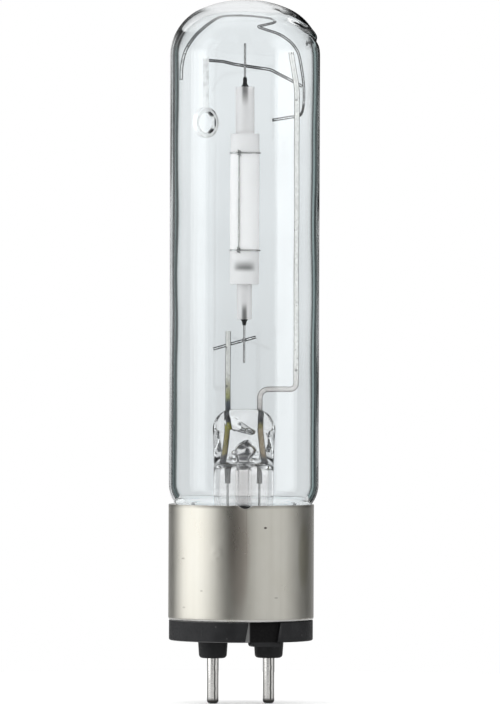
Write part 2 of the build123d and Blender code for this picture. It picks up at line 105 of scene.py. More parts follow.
# Stem glass
stem_r = 6.4 * mm
stem_wall = 1.25 * mm
press_half = 6.7 * mm
press_half_depth = 2.8 * mm
press_top_half = 2.5 * mm
press_top_half_depth = 2.1 * mm
press_shoulder = 4.4 * mm
press_unevenness = 0.16 * mm
exhaust_bore_r = 1.0 * mm

# Wires
spring_wire_r = 0.325 * mm
antenna_wire_r = 0.12 * mm
antenna_turn = radians(-111)
weld_r = 0.46 * mm

# Photograph: picture points to the metre at the lamp, and where the lamp stands in the picture
picture_height = 704
points_per_metre = 4720
picture_middle_z = 61 * mm
axis_left_of_middle = 1.73 * mm
camera_distance = 1.4
camera_azimuth = frame_turn
camera_roll = radians(0.2)


def held(share):
    """Number held between 0 and 1."""
    return min(1.0, max(0.0, share))


def hump(offset, width):
    """Soft hump, 1 in its middle."""
    return exp(-((offset / width) ** 2))


def turns_round(count):
    """Even turns round a circle."""
    return [2 * pi * k / count for k in range(count)]


def turn_between(start, end):
    """Turn from one bearing to another, the short way round."""
    return (end - start + pi) % (2 * pi) - pi


def in_frame(x, y, z):
    """Point given across, into and up the wire frame."""
    return in_bulb @ Vector((x, y, z))


def finished_mesh(name, build):
    """Mesh from a bmesh, with its faces turned outward."""
    mesh = bpy.data.meshes.new(name)
    bmesh.ops.recalc_face_normals(build, faces=build.faces)
    build.to_mesh(mesh)
    build.free()
    return mesh


def new_object(name, data):
    """Object for a mesh, a camera or a light, in the scene."""
    made = bpy.data.objects.new(name, data)
    bpy.context.collection.objects.link(made)
    return made


def new_piece(name, build, material, slot, *nodes):
    """Mesh piece from a finished bmesh, riding on the lamp and standing for the nodes named."""
    mesh = finished_mesh(name, build)
    mesh.shade_smooth()
    piece = new_object(name, mesh)
    mesh.materials.append(material)
    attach(piece, root)
    if nodes:
        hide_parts(*nodes)
    return piece


def join_rings(build, low, high):
    """Faces between two rings of points, either of which may be a single pole."""
    count = max(len(low), len(high))
    for k in range(count):
        after = (k + 1) % count
        corners = [low[k % len(low)], low[after % len(low)], high[after % len(high)], high[k % len(high)]]
        corners = list(dict.fromkeys(corners))
        if len(corners) > 2:
            build.faces.new(corners)


def skin(build, rings, closed=False):
    """Skin of faces over rings of places, closed into a loop of rings where asked."""
    made = [[build.verts.new(place) for place in ring] for ring in rings]
    following = made[1:] + made[:1] if closed else made[1:]
    for low, high in zip(made, following):
        join_rings(build, low, high)


def arc(x, z, radius, start, end, count):
    """Points of radius and height along an arc, in degrees."""
    turns = [radians(start + (end - start) * k / count) for k in range(count + 1)]
    return [(x + radius * cos(turn), z + radius * sin(turn)) for turn in turns]


def run(start, end, count):
    """Points along a straight run, both ends included."""
    return [tuple(a + (b - a) * k / count for a, b in zip(start, end)) for k in range(count + 1)]


def round_ring(r, z, segments, shape=None, axis=bulb_axis):
    """Ring of places about an axis, reshaped where asked, or a pole where the radius is nothing."""
    if r <= 1e-9:
        return [Vector((axis.x, axis.y, z))]
    ring = []
    for turn in turns_round(segments):
        at_r, at_z = shape(r, z, turn) if shape else (r, z)
        ring.append(Vector((axis.x + at_r * cos(turn), axis.y + at_r * sin(turn), at_z)))
    return ring


def fill_inputs(tree, node, inputs):
    """Inputs of a shader node, set to values or linked to sockets."""
    for key, value in inputs.items():
        if isinstance(value, bpy.types.NodeSocket):
            tree.links.new(value, node.inputs[key])
        else:
            node.inputs[key].default_value = value


def add_node(tree, kind, inputs=None, **settings):
    """Shader node with its settings and its inputs."""
    made = tree.nodes.new(kind)
    for key, value in settings.items():
        setattr(made, key, value)
    fill_inputs(tree, made, inputs or {})
    return made


def maths(tree, operation, *values):
    """Result of one operation on sockets or numbers."""
    return add_node(tree, "ShaderNodeMath", dict(enumerate(values)), operation=operation).outputs[0]


def chained(tree, operation, values):
    """Result of one operation carried on through several sockets or numbers."""
    result = values[0]
    for value in values[1:]:
        result = maths(tree, operation, result, value)
    return result


def plus(tree, *values):
    """Sum of sockets or numbers."""
    return chained(tree, "ADD", values)


def times(tree, *values):
    """Product of sockets or numbers."""
    return chained(tree, "MULTIPLY", values)


def largest(tree, *values):
    """Largest of sockets or numbers."""
    return chained(tree, "MAXIMUM", values)


def minus(tree, first, second):
    """Difference of two sockets or numbers."""
    return maths(tree, "SUBTRACT", first, second)


def opposite(tree, share):
    """What a share leaves of 1."""
    return minus(tree, 1.0, share)


def size_of(tree, value):
    """Value without its sign."""
    return maths(tree, "ABSOLUTE", value)


def beyond(tree, value, limit):
    """1 where a value is past a limit, and 0 elsewhere."""
    return maths(tree, "GREATER_THAN", value, limit)


def short_of(tree, value, limit):
    """1 where a value is short of a limit, and 0 elsewhere."""
    return maths(tree, "LESS_THAN", value, limit)


def choose(tree, share, first, second):
    """Number blended from two others by a share."""
    return plus(tree, times(tree, first, opposite(tree, share)), times(tree, second, share))


def remap(tree, value, low, high, to_low=0.0, to_high=1.0, smooth=False):
    """Value stretched from one span to another and held at its ends."""
    way = "SMOOTHSTEP" if smooth else "LINEAR"
    spans = {"Value": value, "From Min": low, "From Max": high, "To Min": to_low, "To Max": to_high}
    return add_node(tree, "ShaderNodeMapRange", spans, interpolation_type=way).outputs["Result"]


def mix_colours(tree, share, first, second):
    """Colour mixed from two others by a share."""
    return add_node(tree, "ShaderNodeMix", {0: share, 6: first, 7: second}, data_type="RGBA").outputs[2]


def grey(level):
    """Plain grey colour."""
    return (level, level, level, 1)


def dimmed(colour, share):
    """Colour brought down to a share of itself."""
    return tuple(share * part for part in colour[:3]) + (1,)


def object_place(tree):
    """Place on the piece, in metres in the lamp's frame."""
    return add_node(tree, "ShaderNodeTexCoord").outputs["Object"]


def front_parts(tree, vector):
    """Parts of a place or a direction: across the lamp's front, away behind it, and up."""
    turned = add_node(tree, "ShaderNodeMapping", {"Vector": vector, "Rotation": (0, 0, -frame_turn)})
    parts = add_node(tree, "ShaderNodeSeparateXYZ", {"Vector": turned.outputs[0]})
    return [parts.outputs[key] for key in ("X", "Y", "Z")]


def front_place(tree):
    """Place on the piece: across the lamp's front, behind its axis, and up."""
    return front_parts(tree, object_place(tree))


def from_axis(tree, x, y):
    """Distance from the shell's axis."""
    return maths(tree, "SQRT", plus(tree, times(tree, x, x), times(tree, y, y)))


def turned_away(tree):
    """How far the surface turns from sight, 0 where it faces it."""
    return add_node(tree, "ShaderNodeLayerWeight", {"Blend": 0.5}).outputs["Facing"]


def front_mark(tree, oval, deepest=0.0, nearest=-1.0):
    """Mask of a soft oval mark on what lies between two depths behind the lamp's axis.

    The oval is its place across the front, its height and its two half sizes, in millimetres.
    """
    x, y, z = front_place(tree)
    across, height, half_across, half_height = (size * mm for size in oval)
    aside = maths(tree, "DIVIDE", minus(tree, x, across), half_across)
    above = maths(tree, "DIVIDE", minus(tree, z, height), half_height)
    far = plus(tree, times(tree, aside, aside), times(tree, above, above))
    soft = remap(tree, far, 0.1, 1.0, 1.0, 0.0, smooth=True)
    return times(tree, soft, short_of(tree, y, deepest), beyond(tree, y, nearest))


def front_marks(tree, ovals, share=1.0, deepest=0.0):
    """Mask of several oval marks together, each at a share of its strength."""
    return largest(tree, *(times(tree, front_mark(tree, oval, deepest), share) for oval in ovals))


def new_group(name, inputs, output):
    """Empty node group with its named inputs, their kinds and first values, and its one output."""
    group = bpy.data.node_groups.new(name, "ShaderNodeTree")
    for socket, kind, value in inputs:
        made = group.interface.new_socket(socket, in_out="INPUT", socket_type=kind)
        made.default_value = value
    group.interface.new_socket(output, in_out="OUTPUT", socket_type="NodeSocketFloat")
    given = group.nodes.new("NodeGroupInput").outputs
    return group, given, group.nodes.new("NodeGroupOutput")


def make_grain_group():
    """Even grain: a noise of one scale, which may be stretched along an axis."""
    inputs = [
        ("Scale", "NodeSocketFloat", 1000.0),
        ("Stretch", "NodeSocketVector", (1, 1, 1)),
        ("Detail", "NodeSocketFloat", 3.0),
    ]
    group, given, out = new_group("Grain", inputs, "Value")
    place = {0: object_place(group), 1: given["Stretch"]}
    stretched = add_node(group, "ShaderNodeVectorMath", place, operation="MULTIPLY").outputs[0]
    pattern = {"Vector": stretched, "Scale": given["Scale"], "Detail": given["Detail"]}
    grain = add_node(group, "ShaderNodeTexNoise", pattern)
    fill_inputs(group, out, {"Value": remap(group, grain.outputs["Fac"], 0.3, 0.7)})
    return group


def make_specks_group():
    """Scattered specks: small round spots at some of a cell pattern's points."""
    inputs = [
        ("Scale", "NodeSocketFloat", 600.0),
        ("Size", "NodeSocketFloat", 0.15),
        ("Share", "NodeSocketFloat", 0.3),
    ]
    group, given, out = new_group("Specks", inputs, "Mask")
    pattern = {"Vector": object_place(group), "Scale": given["Scale"]}
    cells = add_node(group, "ShaderNodeTexVoronoi", pattern)
    chance = add_node(group, "ShaderNodeSeparateColor", {"Color": cells.outputs["Color"]}).outputs[0]
    chosen = short_of(group, chance, given["Share"])
    edge = times(group, given["Size"], 0.6)
    spot = remap(group, cells.outputs["Distance"], edge, given["Size"], 1.0, 0.0, smooth=True)
    fill_inputs(group, out, {"Mask": times(group, chosen, spot)})
    return group


def make_scratches_group():
    """Fine scratches: thin crests of a noise drawn out along one direction."""
    inputs = [
        ("Scale", "NodeSocketFloat", 900.0),
        ("Stretch", "NodeSocketVector", (1, 1, 0.04)),
        ("Turn", "NodeSocketVector", (0, 0, 0)),
        ("Share", "NodeSocketFloat", 0.1),
    ]
    group, given, out = new_group("Scratches", inputs, "Mask")
    place = {"Vector": object_place(group), "Rotation": given["Turn"], "Scale": given["Stretch"]}
    turned = add_node(group, "ShaderNodeMapping", place).outputs[0]
    pattern = {"Vector": turned, "Scale": given["Scale"], "Detail": 1.0}
    lines = add_node(group, "ShaderNodeTexNoise", pattern)
    top = minus(group, 0.78, given["Share"])
    mask = remap(group, lines.outputs["Fac"], top, plus(group, top, 0.05))
    fill_inputs(group, out, {"Mask": mask})
    return group


grain_group = make_grain_group()
specks_group = make_specks_group()
scratches_group = make_scratches_group()


def use_group(tree, group, **inputs):
    """One placing of a shared effect, with its own values."""
    placed = add_node(tree, "ShaderNodeGroup", node_tree=group)
    fill_inputs(tree, placed, inputs)
    return placed.outputs[0]


def new_material(name):
    """Material with its tree and its shader."""
    material = bpy.data.materials.new(name)
    material.use_nodes = True
    return material, material.node_tree, material.node_tree.nodes["Principled BSDF"]


def set_shader(tree, shader, **values):
    """Values and sockets on the shader's own inputs, whose names are written with underscores."""
    fill_inputs(tree, shader, {key.replace("_", " "): value for key, value in values.items()})


def set_bump(tree, shader, height, distance, strength=1.0):
    """Bump of a given depth on the shader's normal."""
    bump = add_node(tree, "ShaderNodeBump", {"Height": height, "Distance": distance, "Strength": strength})
    set_shader(tree, shader, Normal=bump.outputs[0])


def make_clear_glass(name, tint, glass_shade_marks):
    """Clear lamp glass, with the long soft ripples of drawn tube, a few faint smears and painted shade
    marks.

    A painted shade mark is an oval mark with its nearest and deepest depth, in millimetres.
    """
    glass_shade_colour = (0.01, 0.01, 0.012, 1)
    ripple_depth = 0.02 * mm
    material, tree, shader = new_material(name)
    smears = use_group(tree, grain_group, Scale=160.0, Stretch=(1, 1, 0.3), Detail=4.0)
    clear = mix_colours(tree, smears, dimmed(tint, 0.97), tint)
    # painted shade: dark ovals in the glass where the press's passages and the shell's notch look dark
    for *oval, nearest, deepest in glass_shade_marks:
        clear = mix_colours(tree, front_mark(tree, oval, deepest * mm, nearest * mm), clear, glass_shade_colour)
    set_shader(tree, shader, Base_Color=clear, Roughness=0.0, IOR=1.475, Transmission_Weight=1.0)
    ripples = use_group(tree, grain_group, Scale=120.0, Stretch=(1, 1, 0.12), Detail=1.0)
    set_bump(tree, shader, ripples, ripple_depth)
    return material


def make_shell_nickel():
    """Satin nickel: clouded and faintly streaked, with painted dark reflections down its front, painted
    shade toward its right edge, a painted highlight on its foot, a band darker towards its rim, and marks of
    handling.
    """
    dull, bright = (0.58, 0.565, 0.505, 1), (0.64, 0.628, 0.572, 1)
    streak, stain_and_dark_reflection, edge_shade_colour = (0.4, 0.38, 0.33, 1), (0.3, 0.24, 0.2, 1), (0.3, 0.28, 0.16, 1)
    darkened, foot_highlight_colour, cement_smear = (0.06, 0.05, 0.045, 1), (0.99, 0.985, 0.96, 1), (0.9, 0.9, 0.88, 1)
    spot_ovals = (
        (-12.2, 17.5, 0.5, 0.25),
        (-12.0, 7.2, 0.4, 0.25),
        (-8.3, 10.8, 0.35, 0.25),
        (7.4, 9.4, 0.5, 0.25),
    )
    material, tree, shader = new_material("Shell nickel")
    cloud = use_group(tree, grain_group, Scale=170.0, Stretch=(1, 1, 0.6), Detail=4.0)
    streaks = use_group(tree, grain_group, Scale=700.0, Stretch=(1, 1, 0.02), Detail=3.0)
    scratches = use_group(tree, scratches_group, Scale=1500.0, Stretch=(1, 1, 0.05), Share=0.05)
    x, y, z = front_place(tree)
    plated = mix_colours(tree, cloud, dull, bright)
    plated = mix_colours(tree, times(tree, streaks, 0.16), plated, streak)
    # painted reflection: dark stripes down the shell's front, where its two reflections part
    dark_reflection_stripe = times(tree, front_mark(tree, (-0.5, 19, 2.8, 16)), 0.45)
    line = times(tree, front_mark(tree, (1.1, 21, 0.22, 11)), 0.5)
    plated = mix_colours(tree, largest(tree, dark_reflection_stripe, line), plated, stain_and_dark_reflection)
    # painted shade toward the shell's right edge
    edge = times(tree, front_mark(tree, (13.2, 18, 1.4, 9)), 0.4)
    plated = mix_colours(tree, edge, plated, edge_shade_colour)
    # dark nicks and spots, and a band darker towards the top rim
    nick = largest(tree, front_mark(tree, (5.1, 24.1, 0.4, 0.26)), front_marks(tree, spot_ovals, 0.3))
    rim = remap(tree, z, shell_top_z - 0.9 * mm, shell_top_z - 0.15 * mm, 0.0, 0.55, smooth=True)
    rim = times(tree, rim, remap(tree, cloud, 0.2, 0.7, 0.3, 1.0))
    plated = mix_colours(tree, largest(tree, nick, rim), plated, darkened)
    # painted highlight along the rolled foot
    foot = remap(tree, z, shell_foot_z + 0.5 * mm, shell_foot_z + 0.6 * mm, 1.0, 0.0)
    foot = times(tree, foot, remap(tree, cloud, 0.1, 0.5, 0.3, 0.9))
    plated = mix_colours(tree, foot, plated, foot_highlight_colour)
    smeared = remap(tree, from_axis(tree, x, y), shell_r - 0.1 * mm, shell_r - 0.03 * mm, 1.0, 0.0)
    smeared = times(tree, smeared, beyond(tree, z, shell_foot_z + 2 * mm))
    set_shader(
        tree,
        shader,
        Base_Color=mix_colours(tree, smeared, plated, cement_smear),
        Metallic=opposite(tree, smeared),
        Roughness=plus(tree, remap(tree, cloud, 0.0, 1.0, 0.26, 0.34), times(tree, scratches, 0.1)),
    )
    ripples = use_group(tree, grain_group, Scale=1900.0, Stretch=(0.25, 0.25, 1), Detail=1.0)
    rubbed = times(tree, ripples, front_mark(tree, (-5.2, 18.7, 1.6, 2.0)))
    lines = use_group(tree, grain_group, Scale=2600.0, Stretch=(0.1, 0.1, 1), Detail=2.0)
    relief = minus(tree, times(tree, lines, 0.06), times(tree, scratches, 0.1))
    relief = minus(tree, plus(tree, relief, rubbed), nick)
    set_bump(tree, shader, relief, 0.03 * mm)
    return material


def make_pin_nickel():
    """Bright plated pin, rolled from strip: a painted dark reflection in a narrow stripe down its front, a
    darker tip, painted dark edges, fine scratches and stains.
    """
    dull, bright = (0.84, 0.83, 0.81, 1), (0.93, 0.92, 0.9, 1)
    dark_line_and_tip_colour, stain_and_dark_reflection = (0.035, 0.033, 0.03, 1), (0.12, 0.1, 0.08, 1)
    line_reach = 5.91 * mm
    line_offset = 0.42 * mm
    line_wander = 0.07 * mm
    material, tree, shader = new_material("Pin nickel")
    cloud = use_group(tree, grain_group, Scale=220.0, Stretch=(1, 1, 0.6), Detail=4.0)
    stains = use_group(tree, specks_group, Scale=260.0, Size=0.16, Share=0.06)
    scratches = use_group(tree, scratches_group, Scale=1500.0, Stretch=(1, 1, 0.05), Share=0.06)
    wander = use_group(tree, grain_group, Scale=420.0, Stretch=(0, 0, 1), Detail=2.0)
    x, _, z = front_place(tree)
    # painted reflection: a dark wavy stripe down each pin's front
    beside = minus(tree, size_of(tree, minus(tree, x, line_offset)), line_reach)
    beside = plus(tree, beside, remap(tree, wander, 0.0, 1.0, -line_wander, line_wander))
    dark_reflection_stripe = remap(tree, size_of(tree, beside), 0.08 * mm, 0.24 * mm, 0.9, 0.0, smooth=True)
    # darker towards the tip
    tip = remap(tree, z, pin_tip_z + 0.5 * mm, pin_tip_z + 1.3 * mm, 0.95, 0.0, smooth=True)
    plated = mix_colours(tree, cloud, dull, bright)
    plated = mix_colours(tree, largest(tree, dark_reflection_stripe, tip), plated, dark_line_and_tip_colour)
    # painted reflection: edges turned from sight darkened, standing for the dark they mirror
    plated = mix_colours(tree, remap(tree, turned_away(tree), 0.3, 0.6, 0.0, 0.85), plated, grey(0.05))
    set_shader(
        tree,
        shader,
        Base_Color=mix_colours(tree, times(tree, stains, 0.8), plated, stain_and_dark_reflection),
        Metallic=0.85,
        Roughness=plus(tree, remap(tree, cloud, 0.0, 1.0, 0.1, 0.18), times(tree, scratches, 0.12)),
    )
    lines = use_group(tree, grain_group, Scale=2600.0, Stretch=(0.12, 0.12, 1), Detail=2.0)
    set_bump(tree, shader, minus(tree, lines, scratches), 0.003 * mm)
    return material


def make_black_moulding():
    """Black moulded resin: fine grain, pale scuffs and a little dust, and a keyway with painted shade in its
    recess and a painted highlight on one side.
    """
    dark, light = (0.009, 0.0095, 0.0105, 1), (0.018, 0.0185, 0.02, 1)
    shade, dust = (0.003, 0.003, 0.0032, 1), (0.16, 0.16, 0.155, 1)
    rim_r = shell_r - 0.15 * mm
    material, tree, shader = new_material("Black moulding")
    grain = use_group(tree, grain_group, Scale=2400.0, Detail=2.0)
    cloud = use_group(tree, grain_group, Scale=260.0, Detail=4.0)
    specks = use_group(tree, specks_group, Scale=900.0, Size=0.2, Share=0.12)
    slanted = {"Stretch": (1, 1, 0.15), "Turn": (0.6, 0.3, 0)}
    scuffs = use_group(tree, scratches_group, Scale=700.0, Share=0.08, **slanted)
    x, y, z = front_place(tree)
    # painted shade in the keyway's recess
    sunk = remap(tree, from_axis(tree, x, y), rim_r - 0.12 * mm, rim_r - 0.04 * mm, 1.0, 0.0)
    sunk = times(tree, sunk, beyond(tree, z, 0.05 * mm))
    # painted highlight on one side of the keyway
    lit_flank = times(tree, sunk, remap(tree, x, 1.7 * mm, 2.0 * mm, 1.0, 0.0), short_of(tree, y, 0.0))
    resin = mix_colours(tree, cloud, dark, light)
    resin = mix_colours(tree, sunk, resin, shade)
    resin = mix_colours(tree, lit_flank, resin, grey(0.16))
    rubbed = times(tree, opposite(tree, sunk), scuffs, cloud, 0.4)
    resin = mix_colours(tree, rubbed, resin, grey(0.06))
    set_shader(
        tree,
        shader,
        Base_Color=mix_colours(tree, times(tree, specks, 0.2), resin, dust),
        Roughness=plus(tree, remap(tree, grain, 0.0, 1.0, 0.38, 0.56), times(tree, sunk, 0.35)),
        Specular_IOR_Level=0.22,
    )
    set_bump(tree, shader, grain, 0.02 * mm, 0.7)
    return material


def make_alumina(name, white, milk, transmission):
    """Translucent sintered alumina: milky, with a fine crystal grain, painted light between the antenna's
    loops and the painted shade of what is inside it.
    """
    clouded, painted_core_shade = (0.7, 0.68, 0.66, 1), (0.12, 0.115, 0.11, 1)
    loop_inset = 0.5 * mm
    loop_soft = 0.15 * mm
    rod_length = 2.8 * mm
    past_end = 1 * mm
    material, tree, shader = new_material(name)
    grain = use_group(tree, grain_group, Scale=5200.0, Detail=2.0)
    cloud = use_group(tree, grain_group, Scale=330.0, Stretch=(1, 1, 0.3), Detail=3.0)
    height = front_place(tree)[2]
    turned = turned_away(tree)

    def stretch(low, high, soft_low, soft_high):
        rise = remap(tree, height, low - soft_low, low + soft_low, smooth=True)
        fall = remap(tree, height, high - soft_high, high + soft_high, 1.0, 0.0, smooth=True)
        return times(tree, rise, fall)

    def core(wide, dark):
        return remap(tree, turned, 0.0, wide, dark, 0.0, smooth=True)

    # painted light: brighter between the antenna's loops than toward the tube's ends
    lit = stretch(antenna_low.z + loop_inset, antenna_high.z - loop_inset, loop_soft, loop_soft)
    milky = mix_colours(tree, lit, milk, white)
    milky = mix_colours(tree, times(tree, cloud, 0.05), milky, clouded)
    # painted shade of the rods and the amalgam pool inside, darkest where the surface faces the viewer
    upper_rod = stretch(capillary_top_z - rod_length, capillary_top_z + past_end, 1.9 * mm, 0.2 * mm)
    lower_rod = stretch(capillary_foot_z - past_end, capillary_foot_z + rod_length, 0.2 * mm, 1.2 * mm)
    rods = times(tree, largest(tree, upper_rod, lower_rod), core(0.1, 0.85))
    pool = stretch(pool_low.z + 0.1 * mm, pool_high.z - 0.5 * mm, 0.6 * mm, 1.1 * mm)
    pool = times(tree, pool, core(0.45, 0.85))
    set_shader(
        tree,
        shader,
        Base_Color=mix_colours(tree, largest(tree, rods, pool), milky, painted_core_shade),
        Roughness=remap(tree, grain, 0.0, 1.0, 0.4, 0.52),
        IOR=1.3,
        Transmission_Weight=transmission,
    )
    set_bump(tree, shader, grain, 0.006 * mm, 0.5)
    return material


def make_drawn_wire(name, colour, smooth, rough, edge=0.0, metallic=1.0, shade_marks=(), depth=1.0, highlight_marks=()):
    """Drawn wire: uneven oxide, specks, painted dark edges, painted shade marks and painted highlight marks.
    """
    wire_shade_colour = (0.02, 0.02, 0.022, 1)
    material, tree, shader = new_material(name)
    cloud = use_group(tree, grain_group, Scale=900.0, Detail=4.0)
    specks = use_group(tree, specks_group, Scale=1600.0, Size=0.25, Share=0.1)
    finish = mix_colours(tree, cloud, dimmed(colour, 0.62), colour)
    finish = mix_colours(tree, specks, finish, grey(0.05))
    # painted reflection: edges turned from sight darkened, standing for the dark they mirror
    dark = remap(tree, turned_away(tree), 0.02, 0.09, 0.0, edge)
    # painted shade: dark oval marks on the wires near the dome and on the getter ring
    if shade_marks:
        dark = largest(tree, dark, front_marks(tree, shade_marks, depth, shell_r))
    finish = mix_colours(tree, dark, finish, wire_shade_colour)
    # painted highlight: pale oval marks on the getter and at the antenna's loops
    if highlight_marks:
        finish = mix_colours(tree, front_marks(tree, highlight_marks, deepest=shell_r), finish, grey(1))
    rubbed = remap(tree, cloud, 0.0, 1.0, rough, smooth)
    set_shader(tree, shader, Base_Color=finish, Metallic=metallic, Roughness=rubbed)
    fine = use_group(tree, grain_group, Scale=6000.0, Detail=2.0)
    set_bump(tree, shader, fine, 0.006 * mm, 0.6)
    return material


def make_lead_rod(name, stops):
    """Lead rod: oxide colours by height in millimetres where the seal heated it, and grey metal above."""
    shade, speck = (0.05, 0.045, 0.04, 1), (0.06, 0.055, 0.05, 1)
    bare_from = 51 * mm
    bare_to = 56 * mm
    raggedness = 0.7 * mm
    material, tree, shader = new_material(name)
    wander = use_group(tree, grain_group, Scale=1100.0, Detail=4.0)
    specks = use_group(tree, specks_group, Scale=900.0, Size=0.34, Share=0.1)
    cloud = use_group(tree, grain_group, Scale=2200.0, Detail=3.0)
    ragged = plus(tree, front_place(tree)[2], times(tree, wander, raggedness))
    low, high = stops[0][0], stops[-1][0]
    bands = add_node(tree, "ShaderNodeValToRGB", {"Fac": remap(tree, ragged, low * mm, high * mm)})
    ramp = bands.color_ramp
    while len(ramp.elements) < len(stops):
        ramp.elements.new(0.5)
    for element, (z, colour) in zip(ramp.elements, stops):
        element.position = (z - low) / (high - low)
        element.color = colour + (1,)
    oxide = mix_colours(tree, times(tree, cloud, 0.35), bands.outputs["Color"], shade)
    oxide = mix_colours(tree, times(tree, specks, 0.7), oxide, speck)
    # painted reflection: edges turned from sight darkened, standing for the dark they mirror
    edge = remap(tree, turned_away(tree), 0.15, 0.5, 0.0, 0.75)
    set_shader(
        tree,
        shader,
        Base_Color=mix_colours(tree, edge, oxide, grey(0.05)),
        Metallic=remap(tree, ragged, bare_from, bare_to, 0.15, 0.6),
        Roughness=remap(tree, wander, 0.0, 1.0, 0.25, 0.42),
    )
    fine = use_group(tree, grain_group, Scale=5000.0, Detail=2.0)
    set_bump(tree, shader, fine, 0.008 * mm, 0.6)
    return material


def make_getter_powder():
    """Pale pressed powder, matte and pitted."""
    dark, light = (0.8, 0.8, 0.79, 1), (0.88, 0.88, 0.87, 1)
    material, tree, shader = new_material("Getter powder")
    grain = use_group(tree, grain_group, Scale=3000.0, Detail=5.0)
    pits = use_group(tree, specks_group, Scale=2100.0, Size=0.3, Share=0.25)
    pressed = mix_colours(tree, grain, dark, light)
    pitted = mix_colours(tree, pits, pressed, dimmed(dark, 0.5))
    set_shader(tree, shader, Base_Color=pitted, Roughness=remap(tree, grain, 0.0, 1.0, 0.6, 0.9))
    set_bump(tree, shader, minus(tree, grain, pits), 0.03 * mm)
    return material


def make_cement():
    """Pale capping cement, with painted shade in the shell's notch and a painted glow for light from the
    bulb's wall.
    """
    dull, pale, carried_light = (0.84, 0.84, 0.82, 1), (0.92, 0.92, 0.9, 1), (0.97, 0.99, 1, 1)
    notch_shade_oval = (0.84, shell_top_z / mm - 0.3, 4.2, 2.4)
    notch_shade_deepest = -11 * mm
    material, tree, shader = new_material("Cement")
    grain = use_group(tree, grain_group, Scale=500.0, Detail=5.0)
    # painted shade where the shell's notch shows dark
    notch_shade = front_mark(tree, notch_shade_oval, notch_shade_deepest)
    path = add_node(tree, "ShaderNodeLightPath")
    # painted light: a glow seen only through glass, in place of light from the bulb's wall
    carried = times(tree, path.outputs["Is Transmission Ray"], opposite(tree, notch_shade))
    set_shader(
        tree,
        shader,
        Base_Color=mix_colours(tree, notch_shade, mix_colours(tree, grain, dull, pale), grey(0.01)),
        Roughness=0.8,
        Emission_Color=mix_colours(tree, carried, grey(0), carried_light),
        Emission_Strength=0.75,
    )
    set_bump(tree, shader, grain, 0.05 * mm)
    return material


def make_sealing_glass():
    """Dark sealing glass, glossy, with a few bubbles under its face."""
    material, tree, shader = new_material("Sealing glass")
    bubbles = use_group(tree, specks_group, Scale=2600.0, Size=0.35, Share=0.3)
    grain = use_group(tree, grain_group, Scale=1500.0, Detail=3.0)
    black = mix_colours(tree, grain, grey(0.002), grey(0.006))
    set_shader(
        tree,
        shader,
        Base_Color=mix_colours(tree, times(tree, bubbles, 0.3), black, grey(0.08)),
        Roughness=remap(tree, grain, 0.0, 1.0, 0.12, 0.3),
        Specular_IOR_Level=0.15,
    )
    set_bump(tree, shader, plus(tree, grain, bubbles), 0.02 * mm, 0.5)
    return material


# Painted shade in the glass, as dark ovals: across, height, half sizes, nearest and deepest, in millimetres
notch_glass_shade = ((0.5, 28.3, 2.3, 1.0, -17.0, -9.0),)
press_glass_shade = (
    (1.4, 41.5, 1.9, 1.2, -2.2, 2.2),
    (-0.1, 40.5, 1.2, 0.8, -2.2, 2.2),
    (1.2, 39.3, 0.7, 1.5, -2.2, 2.2),
    (0.6, 37.8, 2.4, 0.9, -2.5, 2.5),
    (2.0, 43.9, 1.4, 1.2, -2.2, 2.2),
    (1.0, 43.6, 1.3, 0.7, -2.2, 2.2),
    (-0.4, 44.0, 1.3, 0.6, -2.2, 2.2),
    (-1.7, 44.3, 1.2, 0.5, -2.2, 2.2),
    (1.2, 45.1, 1.2, 0.6, -2.2, 2.2),
    (0.1, 45.8, 1.2, 0.6, -2.2, 2.2),
)

# Oxide on the two rods: height in millimetres, and colour
post_oxide = [
    (33.0, (0.3, 0.29, 0.28)),
    (37.8, (0.05, 0.045, 0.045)),
    (38.8, (0.06, 0.05, 0.045)),
    (39.6, (0.32, 0.25, 0.06)),
    (43.0, (0.42, 0.35, 0.09)),
    (45.8, (0.4, 0.4, 0.05)),
    (46.6, (0.015, 0.015, 0.017)),
    (48.2, (0.02, 0.022, 0.026)),
    (50.8, (0.045, 0.06, 0.075)),
    (51.8, (0.3, 0.3, 0.12)),
    (54.2, (0.42, 0.41, 0.32)),
    (56.5, (0.66, 0.65, 0.62)),
    (60.0, (0.72, 0.71, 0.68)),
]
rod_oxide = [
    (33.0, (0.25, 0.24, 0.23)),
    (38.2, (0.1, 0.09, 0.08)),
    (39.6, (0.55, 0.42, 0.26)),
    (45.0, (0.62, 0.5, 0.32)),
    (45.9, (0.4, 0.36, 0.12)),
    (46.6, (0.05, 0.05, 0.05)),
    (48.6, (0.12, 0.12, 0.12)),
    (49.8, (0.5, 0.47, 0.45)),
    (52.0, (0.68, 0.64, 0.62)),
    (60.0, (0.85, 0.84, 0.81)),
]

# Painted shade and painted highlight marks on the wires: across, height and half sizes, in millimetres
frame_shade_marks = (
    (-9.6, 127.8, 3.4, 4.2),
    (-6.2, 131.2, 4.0, 2.4),
    (-1.4, 132.7, 6.0, 1.8),
    (-4.2, 122.6, 4.6, 2.0),
    (1.6, 121.2, 3.4, 1.8),
    (7.9, 119.4, 2.6, 2.0),
    (8.2, 114.0, 1.6, 1.2),
    (12.6, 115.6, 1.2, 2.2),
)
getter_shade_marks = ((-6.6, 111.6, 1.0, 0.9), (-6.6, 107.7, 1.0, 0.9), (-5.8, 109.7, 0.28, 2.0))
getter_highlight_marks = ((-9.6, 109.6, 3.2, 4.6),)
antenna_highlight_marks = ((-4.0, 82.5, 3.0, 1.2), (-4.0, 103.1, 3.0, 1.2))

